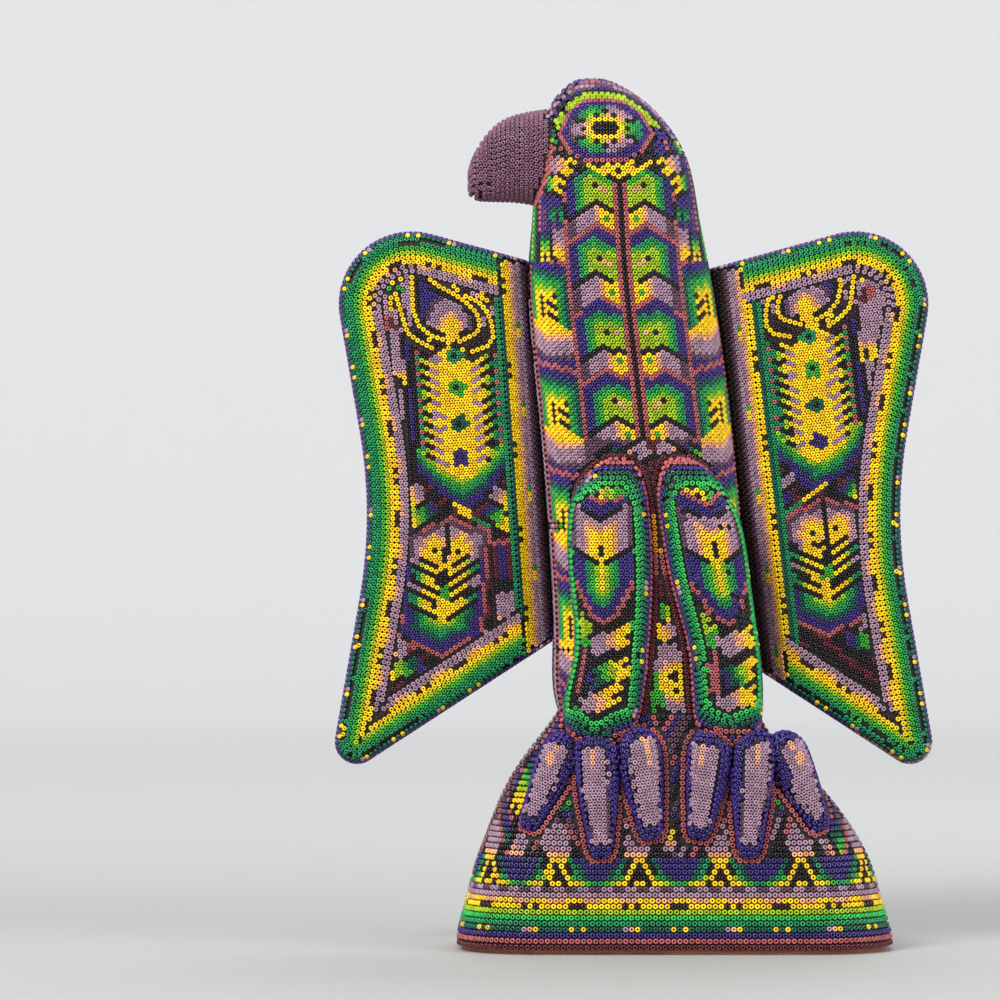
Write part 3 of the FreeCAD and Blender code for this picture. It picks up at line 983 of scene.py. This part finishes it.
# A low and a high point of each wing's crease.
CREASES = {
    "left": (Vector((-52.6, -13, 90)), Vector((-63.6, -13, 250))),
    "right": (Vector((41.4, -13, 90)), Vector((23.0, -13, 250))),
}
WING_BEADS_ALONG = range(-30, 110)
FACE_COLUMNS = 56
BACK_COLUMNS = 24
STRIP_WIDTH = 20
STRIP_MARGIN = 0.5
# A rim's beads lie this far behind the sloping strip, or this far out from the crease.
STRIP_CLEARANCE = 0.6
CREASE_CLEARANCE = 0.8
AXIS_FROM_CREASE = 17.0
# How many of a face's first columns carry on the strip's colours.
FIRST_COLUMN = {"left": 0, "right": 2}
# How far the lower figure is drawn towards the crease, at these heights.
SHIFT_HEIGHTS = (107.0, 155.0, 165.0)
LEAF_SHIFTS = {"left": (0.0, 0.0, 0.0), "right": (17.0, 7.0, 0.0)}
# How far the nearest columns are from the crease, in rows.
CREASE_GAP = 0.68
# How much higher the figures sit on a wing.
AXIS_LIFT = {"left": 0.0, "right": 3.5}

RIM_ROWS = rows_of(
    "mauve",
    "indigo",
    "plum",
    "mauve*3 salmon",
    "indigo",
    "teal yellow teal*7 mauve yellow teal*5 yellow",
    "jade",
    "jade",
    "green",
    "olive",
    "yellow",
    "yellow*2 brown*3 yellow*6 brown yellow brown yellow*3",
    "mauve*5 peach*3",
    "mauve",
)


def rounded_outline(corners):
    """The wing's outline from sharp corners and the radii that round them."""
    points = [np.array(corners[0][:2])]
    for before, here, after in zip(corners, corners[1:], corners[2:]):
        corner = np.array(here[:2])
        arriving = corner - np.array(before[:2])
        leaving = np.array(after[:2]) - corner
        arriving /= np.linalg.norm(arriving)
        leaving /= np.linalg.norm(leaving)
        cross = arriving[0] * leaving[1] - arriving[1] * leaving[0]
        bend = math.atan2(cross, arriving @ leaving)
        radius = here[2]
        cut = radius * math.tan(abs(bend) / 2)
        begin = corner - arriving * cut
        side = math.copysign(1.0, bend)
        centre = begin + np.array([-arriving[1], arriving[0]]) * side * radius
        for share in np.linspace(0, 1, 40):
            angle = share * bend
            spoke = begin - centre
            turned = np.array([spoke[0] * math.cos(angle) - spoke[1] * math.sin(angle),
                               spoke[0] * math.sin(angle) + spoke[1] * math.cos(angle)])
            points.append(centre + turned)
    points.append(np.array(corners[-1][:2]))
    return points


# The figures of a wing are laid out by the distance out from their axis, which runs beside the
# crease, and by the height along it.
ROSETTES = ((212.6, "jade"), (200.3, "green"), (188.0, "teal"), (175.6, "indigo"))
HORNS = (
    ((13.4, 242.9), (13.8, 229.1), (12.0, 223.6), (8.0, 219.8), (4.0, 218.2)),
    ((19.6, 235.4), (17.9, 228.0), (16.3, 221.4), (12.5, 218.1), (8.1, 215.5)),
    ((13.4, 242.9), (16.6, 245.2), (20.4, 243.8), (21.9, 240.9), (19.8, 238.9), (17.4, 240.6)),
    ((19.6, 235.4), (21.6, 234.0), (21.6, 230.2)),
    ((1.9, 244.0), (1.7, 240.9), (4.6, 241.0), (6.2, 243.4), (7.9, 240.5), (3.9, 237.0),
     (-1.1, 234.0), (-4.9, 231.1), (-8.6, 226.9), (-9.6, 222.9), (-8.4, 219.7), (-2.0, 217.1)),
    ((-6.4, 238.0), (-3.6, 239.8), (-0.9, 237.2), (-3.9, 233.6), (-9.5, 230.8), (-12.2, 227.3),
     (-13.8, 222.6), (-14.0, 217.9), (-11.8, 214.8), (-6.3, 213.2)),
)
HORN_SPOTS = (((17.6, 237.0), (23.0, 236.6)), ((-0.6, 240.0), (-0.2, 236.0)))
STROKE_HALF_WIDTH = 0.95
WING_FORKS = (
    ((21.6, 162.0), (14.6, 165.4), WARM),
    ((22.0, 154.2), (11.0, 159.6), COOL),
    ((-16.6, 158.4), (-9.8, 163.6), WARM),
    ((-16.6, 150.6), (-7.0, 157.4), COOL),
    ((32.6, 110.6), (23.6, 109.4), WARM),
    ((33.6, 101.6), (18.6, 103.8), COOL),
    ((20.6, 203.0), (20.6, 212.0), WARM),
    ((-13.4, 231.6), (-9.0, 236.4), WARM),
)


def horned_figure(out, height):
    """The wing's upper figure: curled horns, a flame between them and a striped trunk."""
    place = (out, height)
    for spot in HORN_SPOTS:
        if from_stroke(place, spot) < STROKE_HALF_WIDTH:
            return "green"
    beside = min(from_stroke(place, stroke) for stroke in HORNS)
    if beside < STROKE_HALF_WIDTH:
        return "yellow"
    if height > 216 and -9.6 < out < 13.6 and height < 236.2 + 0.746 * out:
        if abs(out) < 4 and height < 219.5:
            return "yellow"
        if beside < 2.4:
            return "black"
        from_flame = math.hypot((out - 0.6) * (1.25 if out < 0 else 0.95), (height - 221.5) * 0.72)
        return nested(from_flame, "yellow*2 peach mauve*2 plum indigo*2", WING_ROW)
    if beside < 3.0:
        return "mauve" if height > 222 and abs(out) > 9 else "brown"
    return None


def striped_trunk(out, height):
    """The trunk under the horns, with ribs that rise outward and a rounded foot."""
    wide = abs(out)
    for level, colour in ROSETTES:
        distance = math.hypot(out, height - level)
        if distance < 1.0:
            return "indigo" if colour == "indigo" else "black"
        if distance < 2.9:
            return colour
    foot = height - 0.35 * wide - 0.035 * wide * wide
    if height > 218.5 or foot < 158 or wide > 18.4:
        return None
    if foot < 167.6:
        if wide > 16.4:
            return None
        return nested(167.6 - foot, "olive green jade teal indigo*2", WING_ROW)
    if wide > 14.6:
        return "black" if wide < 15.4 else "indigo"
    if wide < 5.6 + 0.6 * math.cos((height - 168) * 1.5):
        return "yellow"
    if (height - 0.45 * wide) % 4.1 < 2.15:
        return "yellow" if wide < 10.4 else "olive" if wide < 12 else "jade"
    return "mauve" if wide < 9 else "black" if wide < 13.4 else "salmon"


LEAF_TOP = 155.2
LEAF_BOTTOM = 105.0
LEAF_HALF_WIDTH = 15.4


def leaf_figure(out, height):
    """The wing's lower figure: a hexagon round a leaf with two lobes and slanting veins."""
    aside = out - 6.2 - (LEAF_TOP - height) * 0.134
    wide = abs(aside)
    depth = min(LEAF_HALF_WIDTH - wide, LEAF_TOP - height - 0.34 * wide,
                (height - LEAF_BOTTOM - 0.5 * wide) * 0.9)
    if depth < 0:
        return None
    if depth < WING_ROW:
        return "salmon"
    lobe = math.hypot(wide - 4.4, (height - 143.4) * 0.85)
    if lobe < 0.9:
        return "black"
    if wide < 0.9 and height > 138:
        return "black"
    if lobe < 3.5:
        return "yellow"
    ribs = height - 0.6 * wide
    if 117.5 < ribs < 139.5 and wide < 12.6 and height < 141:
        if wide < 1.7:
            return "black" if 131 < height < 137 else "green" if 126 < height <= 131 else "yellow"
        if (ribs - 117.5) % 4.4 < 2.1:
            return "black"
        tip = ("jade", "mauve")[int((ribs - 117.5) / 4.4) % 2]
        return "yellow" if wide < 7.6 else "olive" if wide < 8.8 else tip
    if height < 136 and ribs <= 117.5:
        return nested(depth, "salmon indigo*2 teal jade green olive yellow", WING_ROW)
    if height > 138:
        return "plum" if depth < 3.4 else "mauve" if lobe > 5 else "peach"
    return nested(depth, "salmon indigo black*2", WING_ROW)


def arch_figure(out, height):
    """The narrow arch beside the crease, under the trunk."""
    aside = abs(out + 11.4)
    if aside > 4.0 or not 107.5 < height < 146:
        return None
    if aside > 2.9:
        return "brown"
    if height > 132:
        return "salmon" if height > 144 else "indigo" if aside < 1.8 else "maroon"
    if height > 119:
        return "mauve" if height < 127 else "black"
    return "peach" if height > 116.5 else "yellow"


def wing_colour(out, height):
    """The figures of a wing's face on their dark ground."""
    place = (out, height)
    colour = first_fork(place, WING_FORKS)
    if colour:
        return colour
    for figure in (horned_figure, striped_trunk, leaf_figure, arch_figure):
        colour = figure(out, height)
        if colour:
            return colour
    if from_stroke(place, ((3.9, 159.0), (-8.2, 151.0))) < 1:
        return "yellow" if out > -2 else "jade"
    if math.hypot(out - 21.9, height - 226.0) < 3.4:
        return "maroon" if out < 22 else "salmon"
    if out > 16 and height > 158:
        return "mauve" if out > 19 else "black"
    return "black" if (height + out) % 9 < 6 else "maroon"


# Colours from the crease to the body; the last ones, plum, brown and black, are partly the beads' own
# colours and partly painted shade where the strip meets the body.
STRIP_COLUMNS_INTO_PAINTED_SHADE = "teal yellow*2 peach mauve*2 plum brown black"


def strip_colour(column, height):
    """The columns of the sloping strip between the crease and the body, darker towards the body partly in
    the beads' own colours and partly as painted shade.
    """
    mark = height % 29
    if column == 1 and (mark < 2 or 4 < mark < 6):
        return "brown"
    if column == 4 and 14 < mark < 20:
        return "green" if mark > 18 else "yellow"
    return nested(column, STRIP_COLUMNS_INTO_PAINTED_SHADE, 1)


class Wing:
    """One wing: the rows round its edge, the strip beside its crease and its two faces."""

    def __init__(self, name, side, middle):
        self.block = name + "_wing"
        self.side = side
        self.middle = middle
        low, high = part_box(self.block + "_bead_skin")
        self.faces = {-1: low.y / MM, 1: high.y / MM}
        self.mid_depth = (low.y + high.y) / 2 / MM
        self.flat_rim = (high.y - low.y) / 2 / MM - WING_ROLL
        self.boundary = boundary_of(rounded_outline(WING_CORNERS), closed=False)
        self.crease_low, crease_high = CREASES[name]
        self.along = (crease_high - self.crease_low).normalized()
        self.away = Vector((side * self.along.z, 0, -side * self.along.x))
        self.lift = AXIS_LIFT[name]
        self.first = FIRST_COLUMN[name]
        self.axis = AXIS_FROM_CREASE + self.first * WING_ROW
        self.leaf_shifts = LEAF_SHIFTS[name]

    def place(self, flat, depth):
        """The point in space of a place on the outline's plane, at a depth."""
        return Vector((self.middle + self.side * flat[0], depth, flat[1]))

    def from_crease(self, point):
        """How far out from the crease a point is, negative on the body's side."""
        return (point - self.crease_low).dot(self.away)

    def lay_rims(self):
        """Rows round the edge, from the middle of its thickness over both rolls onto the faces."""
        radius = WING_ROLL - BEAD_DEPTH
        for face in (-1, 1):
            for number, colours in enumerate(RIM_ROWS):
                travel = (number + 0.5) * WING_ROW
                angle = min(max(travel - self.flat_rim, 0) / radius, math.pi / 2)
                inset = WING_ROLL * (1 - math.cos(angle))
                inset += max(travel - self.flat_rim - radius * math.pi / 2, 0)
                depth = self.mid_depth + face * (min(travel, self.flat_rim) + WING_ROLL * math.sin(angle))
                self.lay_rim_row(face, inset, depth, angle, colours)
        self.margin = inset + WING_ROW * 0.95

    def lay_rim_row(self, face, inset, depth, angle, colours):
        """One row round the edge, where it is clear of the sloping strip."""
        points, inward, tree = self.boundary
        for run in inside_rows(self.boundary, inset) if inset > 0 else [points]:
            spots, headings = [], []
            for flat in run:
                _, number, _ = tree.find((flat[0], flat[1], 0))
                heading = -inward[number] * math.cos(angle)
                outward = Vector((self.side * heading[0], face * math.sin(angle), heading[1]))
                point = self.place(flat, depth)
                out = self.from_crease(point)
                slope_depth = self.faces[-1] + max(-out, 0) * math.tan(STRIP_SLOPE)
                if point.y > slope_depth + STRIP_CLEARANCE or out > CREASE_CLEARANCE:
                    spots.append(point)
                    headings.append(outward.normalized())
            lay_row(self.block, spots, headings, colours)

    def on_face(self, out, height, face):
        """The point of a face at a distance out from the figures' axis and a height along it."""
        up = height + self.lift - self.crease_low.z
        point = self.crease_low + self.along * up + self.away * (out + self.axis)
        point.y = self.faces[face]
        return point

    def lay_horns(self, face):
        """The horns as single rows of beads."""
        for stroke in HORNS:
            spots = [self.on_face(*place, face) for place in stroke]
            lay_row(self.block, spots, [Vector((0, face, 0))] * len(spots), repeating("yellow"))

    def lattice(self, columns, direction, margin):
        """Brick columns beside the crease: column, distance out, height and point inside the outline."""
        for column in columns:
            for row in WING_BEADS_ALONG:
                out = (column + CREASE_GAP) * WING_ROW
                up = (row + 0.5 * (column % 2)) * WING_PITCH
                point = self.crease_low + self.along * up + direction * out
                flat = (self.side * (point.x - self.middle), point.z)
                if is_inside(self.boundary, flat, margin):
                    yield column, out, self.crease_low.z + up, point

    def lay_face(self, face):
        """The flat of a face, inside the rows round its edge."""
        columns = range(0 if face < 0 else -BACK_COLUMNS, FACE_COLUMNS)
        for column, out, height, point in self.lattice(columns, self.away, self.margin):
            point.y = self.faces[face]
            height -= self.lift
            if column < self.first:
                colour = strip_colour(self.first - column - 1, height)
            elif column == self.first:
                colour = "jade"
            else:
                shift = float(np.interp(height, SHIFT_HEIGHTS, self.leaf_shifts))
                colour = wing_colour(out - self.axis + shift, height)
            press(self.block, point, Vector((0, face, 0)), colour)

    def lay_strip(self):
        """The strip that slopes from the crease to the body."""
        into = -self.away * math.cos(STRIP_SLOPE) + Vector((0, 1, 0)) * math.sin(STRIP_SLOPE)
        outward = into.cross(self.along)
        if outward.y > 0:
            outward = -outward
        for column, _, height, point in self.lattice(range(STRIP_WIDTH), into, STRIP_MARGIN):
            press(self.block, point, outward, strip_colour(column + self.first, height))


def lay_wings():
    """Both wings, mirrored about the middle between them."""
    left_low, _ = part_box("left_wing_bead_skin")
    _, right_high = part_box("right_wing_bead_skin")
    middle = (left_low.x + right_high.x) / 2 / MM
    for name, side in (("left", -1), ("right", 1)):
        wing = Wing(name, side, middle)
        wing.lay_rims()
        wing.lay_strip()
        for face in (-1, 1):
            wing.lay_horns(face)
            wing.lay_face(face)


# ---- filling what is left -----------------------------------------------------------

GAP_TRIES = 20000
# How far from the wax a bead may sit, and how near another block's skin covers it.
WAX_GAP = (0.5, 1.6)
COVER_REACH = 0.3


def fill_gaps(block):
    """Press beads wherever one still fits, in the colour of the nearest bead."""
    share = GAP_SHARES.get(block, SNUG_SHARE)
    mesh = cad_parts[block + "_bead_skin"].data
    mesh.calc_loop_triangles()
    corners = np.array([[mesh.vertices[number].co / MM for number in triangle.vertices]
                        for triangle in mesh.loop_triangles])
    crosses = np.cross(corners[:, 1] - corners[:, 0], corners[:, 2] - corners[:, 0])
    sizes = np.linalg.norm(crosses, axis=1)
    chosen = random.choice(len(corners), GAP_TRIES, p=sizes / sizes.sum())
    shares = random.random((GAP_TRIES, 2))
    flipped = shares.sum(axis=1) > 1
    shares[flipped] = 1 - shares[flipped]
    corner = corners[chosen]
    points = (corner[:, 0] + shares[:, :1] * (corner[:, 1] - corner[:, 0])
              + shares[:, 1:] * (corner[:, 2] - corner[:, 0]))
    outwards = crosses[chosen] / sizes[chosen, None]
    known = KDTree(len(placed[block]))
    for number, bead in enumerate(placed[block]):
        known.insert(bead[0], number)
    known.balance()
    laid = list(placed[block])
    snug = PITCHES[block] * share
    wax = skin_tree(block + "_wax")
    for point, outward in zip(points, outwards):
        place = Vector(point - outward * BEAD_DEPTH)
        _, number, distance = known.find(place)
        if distance < snug or crowded(place, snug):
            continue
        if not WAX_GAP[0] < wax.find_nearest(place)[3] < WAX_GAP[1] or covered(block, Vector(point)):
            continue
        press(block, Vector(point), Vector(outward), laid[number][2], share)


def covered(block, point):
    """Whether another block's skin lies over this point."""
    return any(other != block and skins[other].find_nearest(point, COVER_REACH)[3] is not None
               for other in BLOCKS)


# ---- meshes -------------------------------------------------------------------------

AROUND = 10
# A bead's section: its distances out from the hole's axis, in radii, and up, in millimetres.
SECTION = (
    (1.00, 0.02),
    (0.66, 0.66),
    (0.30, 0.10),
    (0.70, -0.62),
)
TILT_SPREAD = 0.05
SIZE_SPREAD = 0.018
SIZE_LIMITS = (0.95, 1.04)


def bead_ring():
    """Points and faces of one bead at the origin, its hole along Z."""
    points = []
    for step in range(AROUND):
        angle = 2 * math.pi * step / AROUND
        for radius, height in SECTION:
            points.append((radius * math.cos(angle), radius * math.sin(angle), height))
    faces = []
    ring = len(SECTION)
    for step in range(AROUND):
        following = (step + 1) % AROUND
        for corner in range(ring):
            above = (corner + 1) % ring
            faces.append((step * ring + corner, following * ring + corner,
                          following * ring + above, step * ring + above))
    return np.array(points), np.array(faces)


def bead_mesh(name, beads, materials, radius):
    """One mesh of many closed bead rings, each with its own tilt, size and shade."""
    points, faces = bead_ring()
    points = points * (radius, radius, 1)
    count = len(beads)
    places = np.array([bead[0] for bead in beads])
    normals = np.array([bead[1] for bead in beads])
    normals += random.normal(0, TILT_SPREAD, normals.shape)
    normals /= np.linalg.norm(normals, axis=1, keepdims=True)
    helper = random.normal(0, 1, normals.shape)
    first = np.cross(normals, helper)
    first /= np.linalg.norm(first, axis=1, keepdims=True)
    second = np.cross(normals, first)
    scale = random.normal(1, SIZE_SPREAD, (count, 1, 1)).clip(*SIZE_LIMITS)
    turns = np.stack([first, second, normals], axis=1)
    vertices = places[:, None] + (points[None] * scale) @ turns
    corners = faces[None] + (np.arange(count) * len(points))[:, None, None]
    mesh = bpy.data.meshes.new(name)
    mesh.vertices.add(count * len(points))
    mesh.vertices.foreach_set("co", (vertices * MM).ravel())
    mesh.loops.add(corners.size)
    mesh.loops.foreach_set("vertex_index", corners.ravel())
    mesh.polygons.add(count * len(faces))
    mesh.polygons.foreach_set("loop_start", np.arange(0, corners.size, 4))
    keys = [(bead[2], int(shade)) for bead, shade in zip(beads, random.integers(0, len(SHADES), count))]
    used = sorted(set(keys))
    for key in used:
        mesh.materials.append(materials[key])
    slots = np.array([used.index(key) for key in keys])
    mesh.polygons.foreach_set("material_index", np.repeat(slots, len(faces)))
    mesh.polygons.foreach_set("use_smooth", np.ones(count * len(faces), bool))
    mesh.update(calc_edges=True)
    return mesh


def make_bead_pieces():
    """Turn the pressed beads into pieces that stand for the CAD bead skins."""
    materials = {(name, shade): glass_material(name, shade)
                 for name in COLOURS for shade in range(len(SHADES))}
    for block, beads in placed.items():
        radius = PITCHES[block] * BEAD_SHARE
        for half in ("front", "back"):
            group = [bead for bead in beads if (bead[0].y < 0) == (half == "front")]
            group.sort(key=lambda bead: bead[0].z)
            parts = math.ceil(len(group) / BEADS_PER_PIECE)
            for part in range(parts):
                size = math.ceil(len(group) / parts)
                name = "%s_%s_beads_%d" % (block, half, part + 1)
                chosen = group[part * size:(part + 1) * size]
                piece = bpy.data.objects.new(name, bead_mesh(name, chosen, materials, radius))
                bpy.context.scene.collection.objects.link(piece)
                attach(piece, "root")
                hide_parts(block + "_bead_skin")


# ---- wax and wood -------------------------------------------------------------------

SHADE_POSITIONS = (0.35, 0.65)
BUMP_DISTANCE = 0.0002
# Each material's two shades, noise scale by axis, and roughness.
WAX = (((14, 7, 6), (26, 14, 11)), (300, 300, 300), 0.7)
WOOD = (((120, 66, 50), (164, 104, 80)), (60, 60, 900), 0.6)
DOWEL = (((176, 130, 84), (206, 164, 112)), (60, 60, 900), 0.55)


def node_material(name, shades, stretch, roughness):
    """A procedural material that runs between two shades; stretch is the noise scale by axis."""
    material, tree, shader = new_material(name, roughness)
    place = add_node(tree, "TexCoord")
    mapping = add_node(tree, "Mapping", Scale=stretch)
    noise = add_node(tree, "TexNoise", Scale=1.0, Detail=5.0)
    ramp = add_node(tree, "ValToRGB")
    for element, shade, position in zip(ramp.color_ramp.elements, shades, SHADE_POSITIONS):
        element.color = (*[linear(value) for value in shade], 1.0)
        element.position = position
    bump = add_node(tree, "Bump", Strength=0.2, Distance=BUMP_DISTANCE)
    tree.links.new(place.outputs["Object"], mapping.inputs["Vector"])
    tree.links.new(mapping.outputs["Vector"], noise.inputs["Vector"])
    tree.links.new(noise.outputs["Fac"], ramp.inputs["Fac"])
    tree.links.new(ramp.outputs["Color"], shader.inputs["Base Color"])
    tree.links.new(noise.outputs["Fac"], bump.inputs["Height"])
    tree.links.new(bump.outputs["Normal"], shader.inputs["Normal"])
    return material


def finish_frame():
    """Give wax, carved wood and dowels their materials."""
    wax = node_material("campeche_wax", *WAX)
    wood = node_material("carved_wood", *WOOD)
    dowel = node_material("dowel_wood", *DOWEL)
    for name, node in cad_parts.items():
        if name.endswith("_bead_skin"):
            continue
        chosen = wax if name.endswith("_wax") else dowel if name.endswith("_dowel") else wood
        node.data.materials.clear()
        node.data.materials.append(chosen)


# ---- floor, light and camera --------------------------------------------------------

FLOOR_RADIUS = 2.6
WALL_BEND = 0.9
WALL_HEIGHT = 2.4
BEND_STEPS = 16
WALL_TURNS = 72
# The floor is darker where the lamps are near, so that it looks as pale as the wall.
FLOOR_SHADES = ((0.40, 0.40, 0.385, 1), (0.88, 0.88, 0.87, 1))
SHADE_FROM, SHADE_TO = 0.3, 2.4

SKY_COLOUR = (0.93, 0.95, 1.0, 1)
SKY_STRENGTH = 0.8
LAMP_TARGET = Vector((0, 0, 0.16))
# Each lamp's place, size and power.
LAMPS = {
    "key_light": ((-0.9, -1.3, 1.3), 0.7, 33),
    "fill_light": ((1.3, -1.0, 0.7), 1.0, 13),
    "back_light": ((0.2, 0.75, 1.1), 0.8, 5),
}

CAMERA_DISTANCE = 2.2
FRAME_WIDTH = 0.357
CAMERA_X = -0.062
CAMERA_LEVEL = 0.1595
SENSOR_WIDTH = 36


def floor_material():
    """A pale paint, painted darker in the middle where the lamps light it most, so that it looks as pale as
    the wall.
    """
    material, tree, shader = new_material("pale_floor", 0.8)
    spot = add_node(tree, "NewGeometry")
    reach = add_node(tree, "VectorMath")
    reach.operation = "LENGTH"
    share = add_node(tree, "MapRange", From_Min=SHADE_FROM, From_Max=SHADE_TO)
    blend = add_node(tree, "Mix")
    # The darker middle is painted shade that evens out the lamps' pool of light on the floor.
    blend.data_type = "RGBA"
    blend.inputs["A"].default_value, blend.inputs["B"].default_value = FLOOR_SHADES
    tree.links.new(spot.outputs["Position"], reach.inputs[0])
    tree.links.new(reach.outputs["Value"], share.inputs["Value"])
    tree.links.new(share.outputs["Result"], blend.inputs["Factor"])
    tree.links.new(blend.outputs["Result"], shader.inputs["Base Color"])
    return material


def make_stage():
    """A round pale floor that curves up into a wall on every side."""
    profile = [(0.0, 0.0), (FLOOR_RADIUS, 0.0)]
    for step in range(1, BEND_STEPS + 1):
        angle = math.pi / 2 * step / BEND_STEPS
        profile.append((FLOOR_RADIUS + WALL_BEND * math.sin(angle), WALL_BEND * (1 - math.cos(angle))))
    profile.append((FLOOR_RADIUS + WALL_BEND, WALL_HEIGHT))
    angles = [2 * math.pi * turn / WALL_TURNS for turn in range(WALL_TURNS)]
    vertices = [(radius * math.cos(angle), radius * math.sin(angle), height)
                for radius, height in profile for angle in angles]
    faces = []
    for start in range(0, len(vertices) - WALL_TURNS, WALL_TURNS):
        for turn in range(WALL_TURNS):
            here, following = start + turn, start + (turn + 1) % WALL_TURNS
            faces.append((here, following, following + WALL_TURNS, here + WALL_TURNS))
    mesh = bpy.data.meshes.new("floor")
    mesh.from_pydata(vertices, [], faces)
    mesh.polygons.foreach_set("use_smooth", [True] * len(faces))
    mesh.materials.append(floor_material())
    floor = bpy.data.objects.new("floor", mesh)
    bpy.context.scene.collection.objects.link(floor)


def light_scene():
    """Soft light from above and from both sides."""
    world = bpy.data.worlds.new("studio")
    world.use_nodes = True
    sky = world.node_tree.nodes["Background"]
    sky.inputs["Color"].default_value = SKY_COLOUR
    sky.inputs["Strength"].default_value = SKY_STRENGTH
    bpy.context.scene.world = world
    bpy.context.scene.view_settings.view_transform = "Standard"
    for name, (place, size, power) in LAMPS.items():
        light = bpy.data.lights.new(name, "AREA")
        light.size = size
        light.energy = power
        lamp = bpy.data.objects.new(name, light)
        lamp.location = place
        lamp.rotation_euler = (LAMP_TARGET - Vector(place)).to_track_quat("-Z", "Y").to_euler()
        bpy.context.scene.collection.objects.link(lamp)


def add_camera():
    """A camera at the photograph's angle, level with the middle of the view."""
    camera = bpy.data.cameras.new("camera")
    camera.sensor_width = SENSOR_WIDTH
    camera.lens = SENSOR_WIDTH * CAMERA_DISTANCE / FRAME_WIDTH
    holder = bpy.data.objects.new("camera", camera)
    holder.location = (CAMERA_X, -CAMERA_DISTANCE, CAMERA_LEVEL)
    holder.rotation_euler = (math.pi / 2, 0, 0)
    bpy.context.scene.collection.objects.link(holder)
    bpy.context.scene.camera = holder


# ---- everything in order ------------------------------------------------------------

lay_eye(-1)
lay_eye(1)
lay_leg("left")
lay_leg("right")
lay_talons("left", -1)
lay_talons("right", 1)
lay_wings()
lay_tail()
lay_body()
lay_beak()
for block in BLOCKS:
    fill_gaps(block)
make_bead_pieces()
finish_frame()
make_stage()
light_scene()
add_camera()
